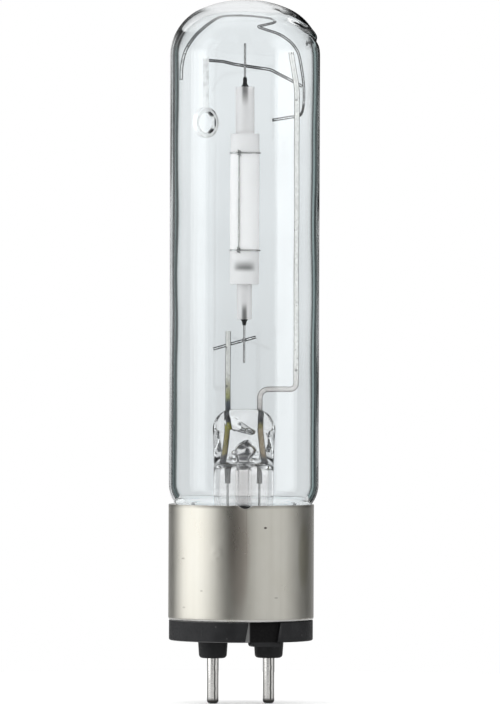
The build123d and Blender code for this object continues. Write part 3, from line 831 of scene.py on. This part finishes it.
# Finishes
clear_glass = make_clear_glass("Clear glass", (0.9, 0.925, 0.935, 1), notch_glass_shade)
stem_glass = make_clear_glass("Stem glass", (0.99, 0.975, 0.97, 1), press_glass_shade)
shell_nickel = make_shell_nickel()
pin_nickel = make_pin_nickel()
black_moulding = make_black_moulding()
capillary_milk = (0.87, 0.842, 0.835, 1)
alumina = make_alumina("Alumina tube", (1.0, 0.97, 0.96, 1), (0.89, 0.862, 0.855, 1), 0.2)
capillary_alumina = make_alumina("Alumina capillary", capillary_milk, capillary_milk, 0.35)
post_metal = make_lead_rod("Support post", post_oxide)
rod_metal = make_lead_rod("Frame rod", rod_oxide)
frame_wire_metal = make_drawn_wire(
    "Frame wire", (0.98, 0.98, 0.97, 1), 0.06, 0.12, 0.985, shade_marks=frame_shade_marks, depth=0.7
)
niobium = make_drawn_wire("Niobium", (0.85, 0.84, 0.83, 1), 0.15, 0.25, 0.9)
tungsten = make_drawn_wire("Tungsten", (0.28, 0.28, 0.29, 1), 0.35, 0.55)
antenna_metal = make_drawn_wire(
    "Antenna wire", (0.62, 0.61, 0.59, 1), 0.2, 0.35, 0.3, highlight_marks=antenna_highlight_marks
)
getter_metal = make_drawn_wire(
    "Getter strip",
    (0.93, 0.93, 0.92, 1),
    0.3,
    0.4,
    metallic=0.35,
    shade_marks=getter_shade_marks,
    highlight_marks=getter_highlight_marks,
)
weld_metal = make_drawn_wire("Weld", (0.2, 0.2, 0.2, 1), 0.3, 0.5)
knot_metal = make_drawn_wire("Antenna knot", (0.3, 0.3, 0.29, 1), 0.3, 0.5)
solder = make_drawn_wire("Solder", (0.16, 0.16, 0.165, 1), 0.4, 0.6)
amalgam = make_drawn_wire("Amalgam", (0.2, 0.2, 0.21, 1), 0.35, 0.55)
cement = make_cement()
getter_powder = make_getter_powder()
sealing_glass = make_sealing_glass()


def dress_nodes():
    """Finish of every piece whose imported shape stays."""
    finishes = {
        "base_plate": black_moulding,
        "contact_pin_left": pin_nickel,
        "contact_pin_right": pin_nickel,
        "tip_solder_left": solder,
        "tip_solder_right": solder,
        "capping_cement": cement,
        "support_post": post_metal,
        "frame_rod": rod_metal,
        "outer_lead_left": frame_wire_metal,
        "outer_lead_right": frame_wire_metal,
        "lower_crossbar": frame_wire_metal,
        "upper_crossbar": frame_wire_metal,
        "getter_ring": getter_metal,
        "getter_fill": getter_powder,
        "getter_strap": getter_metal,
        "arc_tube_body": alumina,
        "upper_end_plug": capillary_alumina,
        "lower_end_plug": capillary_alumina,
        "upper_feedthrough": niobium,
        "lower_feedthrough": niobium,
        "upper_electrode": tungsten,
        "lower_electrode": tungsten,
        "upper_electrode_coil": tungsten,
        "lower_electrode_coil": tungsten,
        "amalgam_pool": amalgam,
        "ignition_antenna": antenna_metal,
    }
    for name, finish in finishes.items():
        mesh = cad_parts[name].data
        mesh.materials.clear()
        mesh.materials.append(finish)


def bulb_outline(depth):
    """Outline of the bulb's face, a depth inside its outer face, from the neck's foot to the apex."""
    knuckle_x = bulb_r - knuckle_radius
    crown_z = apex_z - crown_radius
    dome_z = crown_z + sqrt((crown_radius - knuckle_radius) ** 2 - knuckle_x**2)
    knuckle_angle = degrees(atan2(dome_z - crown_z, knuckle_x))
    neck = neck_r - depth
    bend = shoulder_radius - depth
    neck_angle = -degrees(acos((neck - shoulder_x) / bend))
    shoulder = arc(shoulder_x, shoulder_z, bend, neck_angle, 0, 24)
    knuckle = arc(knuckle_x, dome_z, knuckle_radius - depth, 0, knuckle_angle, 28)
    crown = arc(0, crown_z, crown_radius - depth, knuckle_angle, 90, 28)
    crown[-1] = (0, crown[-1][1])
    side = run(shoulder[-1], knuckle[0], 40)
    foot_z = seal_z + fusing_gap
    return run((neck, foot_z), shoulder[0], 6) + shoulder[1:] + side[1:] + knuckle[1:] + crown[1:]


def bulb_wander(face):
    """Unevenness of a face of the blown bulb, 0 outside and 1 inside, with the slanting fold in its dome."""
    unevenness = 0.05 * mm
    fold_depth = 0.36 * mm
    fold_low_z = apex_z - 9.0 * mm
    fold_climb = 3.3 * mm
    fold_wander = 0.35 * mm

    def shape(r, z, turn):
        place = Vector((cos(turn) * 1.5, sin(turn) * 1.5, z / (14 * mm) + 7 * face))
        uneven = noise.noise(place) * unevenness
        aside = turn_between(frame_turn, turn)
        reach = held((aside + 1.05) / 0.3) * held((0.5 - aside) / 0.3)
        fold_z = fold_low_z + fold_climb * min(1.3, max(0.0, -aside / 0.82))
        fold_z += fold_wander * noise.noise(Vector((aside * 5, 0, face)))
        fold = hump(z - fold_z, 0.55 * mm) - 0.7 * hump(z - fold_z - 1.5 * mm, 0.8 * mm)
        return r + uneven * (0.3 + face) - fold_depth * fold * reach * (1 - 0.5 * face), z

    return shape


def make_outer_bulb():
    """Clear bulb, blown with a slightly uneven wall."""
    build = bmesh.new()
    outer = bulb_outline(0)
    inner = bulb_outline(bulb_wall)
    rings = [round_ring(r, z, bulb_segments, bulb_wander(0)) for r, z in reversed(outer)]
    rings += [round_ring(r, z, bulb_segments, bulb_wander(1)) for r, z in inner]
    skin(build, rings)
    new_piece("bulb_glass", build, clear_glass, "clear_glass", "outer_bulb")


def oval_ring(half_x, half_y, z, segments, uneven):
    """Oval ring across the wire frame, roughened as hand-pressed glass is."""
    if half_x <= 1e-9:
        return [in_frame(0, 0, z)]
    ring = []
    for turn in turns_round(segments):
        place = Vector((half_x * cos(turn), half_y * sin(turn), z))
        place *= 1 + uneven * noise.noise(place / (2.6 * mm)) / max(half_x, half_y)
        ring.append(in_frame(place.x, place.y, z))
    return ring


def press_rings(segments):
    """Rings of the press, from the middle of its top down to the tube."""
    top_shares = (0, 0.35, 0.7, 0.92)
    shoulder_steps = 16
    body_steps = 24
    widest_z = press_top_z - press_shoulder
    rings = []
    for share in top_shares:
        half_x = press_top_half * share
        half_y = press_top_half_depth * share
        rings.append(oval_ring(half_x, half_y, press_top_z, segments, 0))
    for k in range(shoulder_steps + 1):
        turn = radians(90 * (1 - k / shoulder_steps))
        half_x = press_top_half + (press_half - press_top_half) * cos(turn)
        half_y = press_top_half_depth + (press_half_depth - press_top_half_depth) * min(1, 2 * cos(turn))
        z = widest_z + press_shoulder * sin(turn)
        rings.append(oval_ring(half_x, half_y, z, segments, press_unevenness))
    for k in range(1, body_steps + 1):
        share = k / body_steps
        ease = share + 0.02 * sin(2 * pi * share)
        half_x = press_half + (stem_r - press_half) * ease
        half_y = press_half_depth + (stem_r - press_half_depth) * ease
        z = widest_z + (press_foot_z - widest_z) * share
        rings.append(oval_ring(half_x, half_y, z, segments, press_unevenness * (1 - ease)))
    return rings


def make_stem_body():
    """Press, flare tube and exhaust tube, fused as one glass, without its passages."""
    segments = 96
    roof_round = 1.6 * mm
    root_round = 1.2 * mm
    roof_roughness = 0.3 * mm
    neck_in_r = neck_r - bulb_wall
    flare_r = neck_in_r - stem_r
    bell_z = seal_z + flare_r
    inner_r = stem_r - stem_wall
    roof_z = press_foot_z
    tip_z = exhaust_tip_z + exhaust_r
    outside = run((stem_r, press_foot_z), (stem_r, bell_z), 12)[1:]
    outside += arc(neck_in_r, bell_z, flare_r, 180, 270, 12)[1:]
    outside += [(neck_r, seal_z - fusing_gap), (neck_r, seal_z - stem_wall)]
    inside = list(reversed(arc(neck_in_r, bell_z, flare_r + stem_wall, 180, 270, 12)))
    inside += run((inner_r, bell_z), (inner_r, roof_z - roof_round), 12)[1:]
    inside += arc(inner_r - roof_round, roof_z - roof_round, roof_round, 0, 90, 8)[1:]
    inside += arc(exhaust_r + root_round, roof_z - root_round, root_round, 90, 180, 8)
    inside += run((exhaust_r, roof_z - root_round), (exhaust_r, tip_z), 12)[1:]
    inside += arc(0, tip_z, exhaust_r, 0, -90, 8)[1:]
    inside[-1] = (0, exhaust_tip_z)
    build = bmesh.new()
    rings = press_rings(segments)
    for r, z in outside + inside:
        rough = roof_roughness * hump(z - roof_z, 1.3 * mm) if r < inner_r + fusing_gap else 0
        rings.append(oval_ring(r, r, z, segments, rough))
    skin(build, rings)
    return build


def make_bore():
    """Cutter for the exhaust tube's bore, which widens to a ragged mouth in the press."""
    floor_z = exhaust_tip_z + 2.1 * mm
    neck_z = press_foot_z - 1 * mm
    top_z = press_foot_z + 4.6 * mm
    mouth_raggedness = 1.1 * mm
    mouth_lean = (in_bulb @ Vector((0.8 * mm, 0, 0))) - bulb_axis
    mouth = [(1.0, -1.0), (1.2, 0.0), (1.65, 1.0), (1.95, 1.8), (1.95, 2.5)]
    mouth += [(1.7, 3.2), (1.25, 3.8), (0.7, 4.25), (0.35, 4.5)]
    bore = arc(0, floor_z, exhaust_bore_r, -90, 0, 6)
    bore[0] = (0, bore[0][1])
    bore += run((exhaust_bore_r, floor_z), (exhaust_bore_r, neck_z), 8)[1:]
    bore += [(r * mm, press_foot_z + rise * mm) for r, rise in mouth]
    bore += [(0, top_z)]
    rings = []
    for r, z in bore:
        share = max(0, (z - press_foot_z) / (top_z - press_foot_z))
        ring = oval_ring(r, r, z, 48, mouth_raggedness * share)
        rings.append([place + mouth_lean * share for place in ring])
    build = bmesh.new()
    skin(build, rings)
    return build


def make_port():
    """Cutter for the port: a finger-shaped passage that widens to the press's face."""
    start = Vector((1.5 * mm, 0.2 * mm, 43.8 * mm))
    turn = radians(-143.5)
    climb = radians(24)
    tip_r = 0.95 * mm
    segments = 40
    along = Vector((cos(turn) * cos(climb), sin(turn) * cos(climb), sin(climb)))
    aside = along.cross(Vector((0, 0, 1))).normalized()
    above = aside.cross(along)
    outline = [(0, -tip_r)]
    outline += [(tip_r * sin(radians(a)), -tip_r * cos(radians(a))) for a in range(15, 91, 15)]
    outline += [(1.1 * mm, 1.6 * mm), (1.3 * mm, 4.5 * mm), (1.4 * mm, 8 * mm), (0, 8 * mm)]
    rings = []
    for r, reach in outline:
        middle = start + along * reach
        turns = turns_round(segments) if r else [0]
        rings.append([in_bulb @ (middle + aside * r * cos(a) + above * r * sin(a)) for a in turns])
    build = bmesh.new()
    skin(build, rings)
    return build


def make_bubbles():
    """Cutter for a few bubbles caught in the press: three listed one by one and a curl of small ones."""
    bubbles = [(-1.7, -1.6, 2.0, 0.6), (-2.2, -0.6, 0.8, 0.36), (4.6, -0.4, 6.2, 0.22)]
    for k in range(14):
        r = 0.1 + 0.11 * sin(1.7 * k) ** 2
        bubbles.append((2.3 + 0.75 * sin(2.4 * k), -1.9 + 0.12 * k, 0.5 + 0.2 * k, r))
    build = bmesh.new()
    for x, y, rise, r in bubbles:
        place = Matrix.Translation(in_frame(x * mm, y * mm, press_foot_z + rise * mm))
        bmesh.ops.create_icosphere(build, subdivisions=3, radius=r * mm, matrix=place)
    return build


def cut_from(piece, build):
    """Takes a cutter's solid out of a piece's mesh for good."""
    cutter = new_object("cutter", finished_mesh("cutter", build))
    change = piece.modifiers.new("cut", "BOOLEAN")
    change.operation = "DIFFERENCE"
    change.solver = "EXACT"
    change.object = cutter
    bpy.context.view_layer.update()
    ready = piece.evaluated_get(bpy.context.evaluated_depsgraph_get())
    result = bpy.data.meshes.new_from_object(ready)
    piece.modifiers.remove(change)
    piece.data = result
    result.shade_smooth()
    bpy.data.objects.remove(cutter)


def make_stem():
    """The stem's glass, with its passages and bubbles cut."""
    piece = new_piece("stem_glass", make_stem_body(), stem_glass, "stem_glass", "stem", "exhaust_tube")
    for cutter in (make_bore(), make_port(), make_bubbles()):
        cut_from(piece, cutter)


def make_base_shell():
    """Plated sleeve with a rolled foot, a notch in its rim and a hand-worked edge."""
    wall = 0.4 * mm
    lip = 0.75 * mm
    edge = 0.14 * mm
    notch_turn = radians(-96.8)
    notch_half = 1.5 * mm / shell_r
    notch_depth = 0.7 * mm
    unevenness = 0.05 * mm
    worked_rim = 1.2 * mm
    worked_foot = 1.4 * mm
    outer = arc(shell_r - lip, shell_foot_z + lip, lip, -60, 0, 8)
    outer += run((shell_r, shell_foot_z + lip), (shell_r, shell_top_z - edge), 30)[1:]
    outer += arc(shell_r - edge, shell_top_z - edge, edge, 0, 90, 4)[1:]
    inner = run((shell_r - wall, shell_top_z), (shell_r - wall, shell_foot_z + lip), 6)
    inner += [(shell_r - wall - lip / 2, shell_foot_z + lip / 2)]

    def worked(r, z, turn):
        rise = max(0, (z - shell_top_z + worked_rim) / worked_rim)
        sink = max(0, (shell_foot_z + worked_foot - z) / worked_foot)
        dip = notch_depth * max(0, 1 - (turn_between(notch_turn, turn) / notch_half) ** 2)
        ragged = unevenness * noise.noise(Vector((cos(turn), sin(turn), 0)) * 9)
        wave = unevenness * noise.noise(Vector((cos(turn), sin(turn), 5)) * 6)
        return r + wave * sink, z - (dip + max(0, ragged)) * rise

    build = bmesh.new()
    rings = [round_ring(r, z, 256, worked, Vector()) for r, z in outer + inner]
    skin(build, rings, closed=True)
    new_piece("shell", build, shell_nickel, "plated_shell", "base_shell")


def make_cement_bead():
    """Cement squeezed up between the shell's rim and the bulb's shoulder."""
    shell_in_r = shell_r - 0.42 * mm
    glass_gap = 0.06 * mm
    unevenness = 0.08 * mm
    outline = [(shell_in_r, cement_top_z + rise * mm, 0.0) for rise in (0.02, 0.4, 0.75)]
    outline += [(shell_in_r - 0.25 * mm, cement_top_z + 0.85 * mm, 0.4)]
    for rise in (0.7, 0.45, 0.15, 0.02):
        z = cement_top_z + rise * mm
        shoulder = shoulder_x + sqrt(shoulder_radius**2 - (shoulder_z - z) ** 2)
        outline.append((shoulder + glass_gap, z, 1.0))

    def lumpy(r, z, turn):
        return r, z + unevenness * noise.noise(Vector((cos(turn) * 6, sin(turn) * 6, z / mm)))

    build = bmesh.new()
    rings = [round_ring(r, z, 128, lumpy, bulb_axis * lean) for r, z, lean in outline]
    skin(build, rings, closed=True)
    new_piece("cement_bead", build, cement, "cement")


def smooth_path(points, steps):
    """Places along a smooth curve through given points."""
    ends = [points[0] * 2 - points[1]] + points + [points[-1] * 2 - points[-2]]
    path = []
    for before, start, end, after in zip(ends, ends[1:], ends[2:], ends[3:]):
        for k in range(steps):
            t = k / steps
            bend = 2 * before - 5 * start + 4 * end - after
            twist = 3 * start - before - 3 * end + after
            path.append((2 * start + (end - before) * t + bend * t**2 + twist * t**3) / 2)
    return path + [points[-1]]


def sweep_wire(build, path, radius, segments=16):
    """Round wire along a path, closed at both ends."""
    along = (path[1] - path[0]).normalized()
    aside = along.orthogonal().normalized()
    rings = [[path[0]]]
    for k, middle in enumerate(path):
        ahead = path[min(k + 1, len(path) - 1)] - path[max(k - 1, 0)]
        ahead.normalize()
        aside = (aside - ahead * aside.dot(ahead)).normalized()
        above = ahead.cross(aside)
        turns = turns_round(segments)
        rings.append([middle + (aside * cos(turn) + above * sin(turn)) * radius for turn in turns])
    rings.append([path[-1]])
    skin(build, rings)


def make_dome_spring():
    """Bent wire that springs against the dome, from its stub on the frame rod over to its free left end."""
    inner_apex_z = apex_z - bulb_wall
    hoop = Matrix.Rotation(radians(17), 4, "Z")
    stub = [(5.85, 0.47, 23.85), (9.5, 0.47, 23.22), (11.7, 0.5, 22.8)]
    bends = [
        (13.4, 20.9),
        (13.6, 18.2),
        (13.35, 15.0),
        (12.35, 10.1),
        (11.1, 7.9),
        (9.55, 6.5),
        (7.3, 5.2),
        (4.4, 4.3),
        (2.95, 3.75),
        (4.4, 3.2),
        (6.3, 2.6),
        (6.75, 2.0),
        (5.7, 1.4),
        (2.9, 1.05),
        (-0.1, 0.9),
        (-3.0, 1.0),
        (-5.1, 1.4),
        (-6.9, 2.5),
        (-9.85, 5.1),
        (-11.4, 6.9),
        (-12.85, 9.4),
        (-13.55, 12.5),
        (-13.7, 15.6),
    ]
    points = [in_frame(x * mm, y * mm, inner_apex_z - drop * mm) for x, y, drop in stub]
    for reach, drop in bends:
        points.append(in_bulb @ (hoop @ Vector((reach * mm, 0, inner_apex_z - drop * mm))))
    build = bmesh.new()
    sweep_wire(build, smooth_path(points, 8), spring_wire_r)
    new_piece("spring_wire", build, frame_wire_metal, "frame_wire", "dome_spring")


def make_frit_seals():
    """Dark sealing glass on both capillaries: a cone with hollow flanks that creeps along the lead."""
    seals = [("upper", capillary_top_z, 1, 0.92, 2.05), ("lower", capillary_foot_z, -1, 0.82, 1.3)]
    for name, end_z, way, cone, height in seals:
        outline = [(0, 0.01), (cone, 0.01), (cone * 0.8, 0.22), (cone * 0.6, 0.45), (0.46, 0.75)]
        outline += [(0.43, height * 0.6), (0.42, height - 0.3), (0.36, height - 0.08)]
        outline += [(0.26, height), (0, height)]
        build = bmesh.new()
        skin(build, [round_ring(r * mm, end_z + way * rise * mm, 32) for r, rise in outline])
        new_piece(name + "_sealing_cone", build, sealing_glass, "frit", name + "_frit_seal")


def make_welds():
    """Small lumps of metal where the frame's wires are welded."""
    weld_inset = 4.8 * mm
    post_x = -3.375 * mm
    rod_x = 11.05 * mm
    lower_z = lower_lead_foot_z + weld_inset
    upper_z = upper_lead_top_z - weld_inset
    crossbar_drop = -post_x * tan(radians(15.6))
    spots = [
        ("lower_post", post_x, 0.1 * mm, lower_z - crossbar_drop),
        ("lower_lead", 0, 0.2 * mm, lower_z),
        ("upper_lead", 0, 0.2 * mm, upper_z),
        ("upper_rod", rod_x, 0.05 * mm, upper_z - 3.7 * mm),
        ("spring", rod_x, 0.05 * mm, upper_z - 10.6 * mm),
    ]
    for name, x, y, z in spots:
        build = bmesh.new()
        bmesh.ops.create_icosphere(build, subdivisions=4, radius=weld_r)
        for vert in build.verts:
            vert.co *= 1 + 0.3 * noise.noise(vert.co / (0.3 * mm) + Vector((x, y, z)) / mm)
            vert.co = in_frame(x, y, z) + vert.co
        new_piece(name + "_weld", build, weld_metal, "frame_wire")


def make_antenna_knots():
    """Twists that tie the antenna's straight run to its two loops."""
    loop_inset = 0.5 * mm
    twist_r = 0.26 * mm
    length = 1.1 * mm
    turns = 2.6
    steps = 60
    middle = (tube_r + 0.27 * mm) * Vector((cos(antenna_turn), sin(antenna_turn), 0))
    for name, z in (("lower", antenna_low.z + loop_inset), ("upper", antenna_high.z - loop_inset)):
        path = []
        for k in range(steps + 1):
            share = k / steps
            twist = 2 * pi * turns * share
            rise = z + (share - 0.5) * length
            path.append(in_bulb @ (middle + Vector((twist_r * cos(twist), twist_r * sin(twist), rise))))
        build = bmesh.new()
        sweep_wire(build, path, antenna_wire_r, 10)
        new_piece(name + "_antenna_knot", build, knot_metal, "frame_wire")


def make_floor_finish():
    """Pale matte floor that shows near white, and that is seen through from below."""
    lift = 0.25
    material, tree, shader = new_material("Floor")
    tree.nodes.remove(shader)
    path = add_node(tree, "ShaderNodeLightPath").outputs
    grain = use_group(tree, grain_group, Scale=40.0, Detail=3.0)
    pale = mix_colours(tree, grain, grey(0.8), grey(0.82))
    toned = mix_colours(tree, path["Is Glossy Ray"], pale, grey(0.7))
    matte = add_node(tree, "ShaderNodeBsdfDiffuse", {"Color": toned})
    seen = largest(tree, path["Is Camera Ray"], path["Is Transmission Ray"])
    glow = add_node(tree, "ShaderNodeEmission", {"Strength": times(tree, seen, lift)})
    both = add_node(tree, "ShaderNodeAddShader", {0: matte.outputs[0], 1: glow.outputs[0]})
    underside = add_node(tree, "ShaderNodeNewGeometry").outputs["Backfacing"]
    underside = times(tree, underside, path["Is Camera Ray"])
    clear = add_node(tree, "ShaderNodeBsdfTransparent")
    shown = add_node(tree, "ShaderNodeMixShader", {0: underside, 1: both.outputs[0], 2: clear.outputs[0]})
    fill_inputs(tree, tree.nodes["Material Output"], {"Surface": shown.outputs[0]})
    return material


def make_floor():
    """Round floor just under the pins, which keeps the lamp's shadow."""
    floor_r = 0.14
    gap = 0.05 * mm
    build = bmesh.new()
    bmesh.ops.create_circle(build, cap_ends=True, segments=96, radius=floor_r)
    mesh = bpy.data.meshes.new("floor")
    build.to_mesh(mesh)
    build.free()
    mesh.materials.append(make_floor_finish())
    floor = new_object("floor", mesh)
    floor.location.z = cad_box[0].z - gap


# Soft boxes round the lamp: bearing from its front, half width and soft edge in degrees, and strength
side_boxes = ((-77, 14, 1, 1.8), (-112, 18, 8, 0.75), (71, 17, 3, 2.1), (110, 18, 8, 0.7))
front_boxes = ((0, 48, 10, 0.1), (0, 9, 6, 0.2))
arched_box = (-172, 8, 3, 0.92)
back_boxes = ((146, 3.5, 2, 0.36), (-148, 1.5, 1.5, 0.2))
base_boxes = ((-80, 10, 54, 1.72), (50, 16, 56, 0.8), (125, 10, 30, 0.1), (180, 20, 25, 0.35))
bulb_room_boxes = ((0, 100, 30, 1.1), (180, 40, 20, 0.35), (-75, 18, 6, 1.4), (71, 18, 6, 1.2))
stem_room_boxes = ((180, 12, 3, 0.9), (-75, 18, 3, 0.9), (71, 18, 3, 0.9))

# Limits on the faces of glass that a ray goes through on its way in and out: none for the bulb's outer face,
# two for its inner face, four for what stands in the bulb, and six or more for the stem
in_wall_faces = 0.5
past_bulb_faces = 2.5
past_stem_faces = 5.5


class Studio:
    """Light from every direction round the lamp, worked out in the world's tree."""

    def __init__(self, tree):
        self.tree = tree
        self.path = add_node(tree, "ShaderNodeLightPath").outputs
        way = add_node(tree, "ShaderNodeTexCoord").outputs["Generated"]
        self.across, self.away, self.up = front_parts(tree, way)
        self.bearing = maths(tree, "ARCTAN2", self.across, times(tree, self.away, -1.0))
        faces = self.path["Transmission Depth"]
        self.in_wall = beyond(tree, faces, in_wall_faces)
        self.past_bulb = beyond(tree, faces, past_bulb_faces)
        self.past_stem = beyond(tree, faces, past_stem_faces)
        self.mirrored = beyond(tree, self.path["Glossy Depth"], 0.5)

    def soft_box(self, middle, half, soft, strength, arched=False):
        """One upright soft box, which widens overhead where it is arched."""
        tree = self.tree
        apart = maths(tree, "WRAP", minus(tree, self.bearing, radians(middle)), pi, -pi)
        apart = size_of(tree, apart)
        if arched:
            apart = minus(tree, apart, remap(tree, self.up, 0.25, 0.65, 0.0, 1.0))
        return remap(tree, apart, radians(half + soft), radians(half), 0.0, strength, smooth=True)

    def soft_boxes(self, rows):
        """Several soft boxes together."""
        return plus(self.tree, *(self.soft_box(*row) for row in rows))

    def flags(self):
        """Dark flags behind the dome's two corners, widest to the bulb's outer face."""
        tree = self.tree
        slant = maths(tree, "ARCTAN2", self.up, size_of(tree, self.across))
        lean = maths(tree, "ARCCOSINE", self.away)
        wide = remap(tree, self.across, -0.02, 0.02, radians(21), radians(30))
        wide = choose(tree, self.in_wall, radians(62), wide)
        corner = remap(tree, slant, radians(26), radians(36))
        corner = times(tree, corner, remap(tree, slant, radians(64), radians(72), 1.0, 0.0))
        corner = times(tree, corner, remap(tree, lean, radians(2), radians(5)))
        return times(tree, corner, remap(tree, minus(tree, lean, wide), 0.0, radians(4), 0.95, 0.0))

    def on_glass(self):
        """What the bulb's wall mirrors."""
        tree = self.tree
        glare = times(tree, self.in_wall, self.soft_boxes(front_boxes))
        beside = times(tree, self.soft_boxes(side_boxes), remap(tree, self.up, 0.1, 0.25, 1.0, 0.3))
        behind = plus(tree, self.soft_box(*arched_box, arched=True), self.soft_boxes(back_boxes))
        overhead = remap(tree, self.up, 0.75, 0.95, 0.0, 0.6, smooth=True)
        lit = plus(tree, 0.04, glare, beside, behind, overhead)
        return times(tree, lit, opposite(tree, self.flags()))

    def in_stem(self):
        """What the stem's glass mirrors: a bright band at its own level, with dark above and below."""
        tree = self.tree
        level = remap(tree, self.up, 0.34, 0.42, 0.78, 0.0)
        level = times(tree, level, remap(tree, self.up, -0.22, -0.16))
        steep = remap(tree, size_of(tree, self.up), 0.36, 0.42)
        beside = times(tree, steep, remap(tree, size_of(tree, self.across), 0.55, 0.7, 0.0, 0.7))
        return plus(tree, 0.02, level, beside, self.soft_boxes(stem_room_boxes))

    def reflections(self):
        """What is mirrored, by what mirrors it."""
        tree = self.tree
        on_base = plus(tree, 0.05, self.soft_boxes(base_boxes))
        in_bulb_room = plus(tree, 0.12, self.soft_boxes(bulb_room_boxes))
        seen = choose(tree, self.path["Is Singular Ray"], on_base, self.on_glass())
        seen = choose(tree, self.past_bulb, seen, in_bulb_room)
        return choose(tree, self.past_stem, seen, self.in_stem())

    def backdrop(self, sight):
        """White to plain sight, and graded from below to above through glass."""
        tree = self.tree
        through = times(tree, self.path["Is Transmission Ray"], sight)
        grade = remap(tree, self.up, -0.01, 0.037, 0.84, 1.06)
        grade = times(tree, grade, remap(tree, self.past_stem, 0.0, 1.0, 1.0, 1.2))
        return choose(tree, through, 1.0, grade)

    def soft_fill(self):
        """Even light on matte pieces, a little more from the left and through the bulb's wall."""
        tree = self.tree
        through = remap(tree, self.path["Is Transmission Ray"], 0.0, 1.0, 1.0, 2.1)
        return times(tree, through, remap(tree, self.across, -0.9, 0.9, 1.35, 0.9))

    def strength(self):
        """Light to mirrors, to sight and to everything else."""
        tree = self.tree
        scattered = beyond(tree, self.path["Diffuse Depth"], 0.5)
        sight = largest(tree, self.path["Is Camera Ray"], self.path["Is Transmission Ray"])
        sight = times(tree, sight, opposite(tree, self.mirrored), opposite(tree, scattered))
        others = opposite(tree, largest(tree, self.mirrored, sight))
        return plus(
            tree,
            times(tree, self.mirrored, self.reflections()),
            times(tree, sight, self.backdrop(sight)),
            times(tree, others, self.soft_fill()),
        )

    def colour(self):
        """White, with a cool tint in what the bulb's wall mirrors from behind."""
        tree = self.tree
        aside = size_of(tree, self.bearing)
        behind = remap(tree, aside, radians(125), radians(135))
        behind = times(tree, behind, remap(tree, aside, radians(154), radians(160), 1.0, 0.0))
        behind = times(tree, behind, remap(tree, self.up, 0.08, 0.2, 1.0, 0.0))
        outside = opposite(tree, self.past_bulb)
        cool = times(tree, behind, outside, self.mirrored, self.path["Is Singular Ray"])
        return mix_colours(tree, cool, grey(1), (0.8, 1.0, 1.0, 1))


def make_world():
    """Studio round the lamp: white to sight, and soft boxes with dark between them to what is mirrored."""
    world = bpy.data.worlds.new("Studio")
    bpy.context.scene.world = world
    world.use_nodes = True
    world.cycles.sampling_method = "NONE"
    studio = Studio(world.node_tree)
    light = {"Strength": studio.strength(), "Color": studio.colour()}
    fill_inputs(world.node_tree, world.node_tree.nodes["Background"], light)


def make_lamps():
    """Two large soft lamps that shape the matte pieces."""
    distance = 0.7
    size = 0.5
    aim = Vector((0, 0, 0.03))
    for name, bearing, height, power in (("left", -70, 0.25, 1.6), ("right", 65, 0.35, 0.8)):
        data = bpy.data.lights.new("soft_lamp_" + name, "AREA")
        data.size = size
        data.energy = power
        lamp = new_object("soft_lamp_" + name, data)
        turn = frame_turn + radians(bearing)
        lamp.location = (distance * sin(turn), -distance * cos(turn), height)
        lamp.rotation_euler = (aim - lamp.location).to_track_quat("-Z", "Y").to_euler()
        lamp.visible_glossy = False
        lamp.visible_transmission = False


def make_camera():
    """Camera where the photograph was taken from."""
    data = bpy.data.cameras.new("camera")
    data.sensor_width = 36
    data.lens = data.sensor_width * points_per_metre * camera_distance / picture_height
    data.clip_start = 0.01
    data.clip_end = 20
    camera = new_object("camera", data)
    toward = Vector((sin(camera_azimuth), -cos(camera_azimuth), 0))
    right = Vector((cos(camera_azimuth), sin(camera_azimuth), 0))
    aim = right * axis_left_of_middle + Vector((0, 0, picture_middle_z))
    camera.location = aim + toward * camera_distance
    level = (-toward).to_track_quat("-Z", "Y").to_matrix().to_4x4()
    camera.rotation_euler = (level @ Matrix.Rotation(camera_roll, 4, "Z")).to_euler()
    bpy.context.scene.camera = camera


bpy.context.scene.view_settings.view_transform = "Standard"
dress_nodes()
make_outer_bulb()
make_stem()
make_base_shell()
make_cement_bead()
make_dome_spring()
make_frit_seals()
make_welds()
make_antenna_knots()
make_floor()
make_world()
make_lamps()
make_camera()
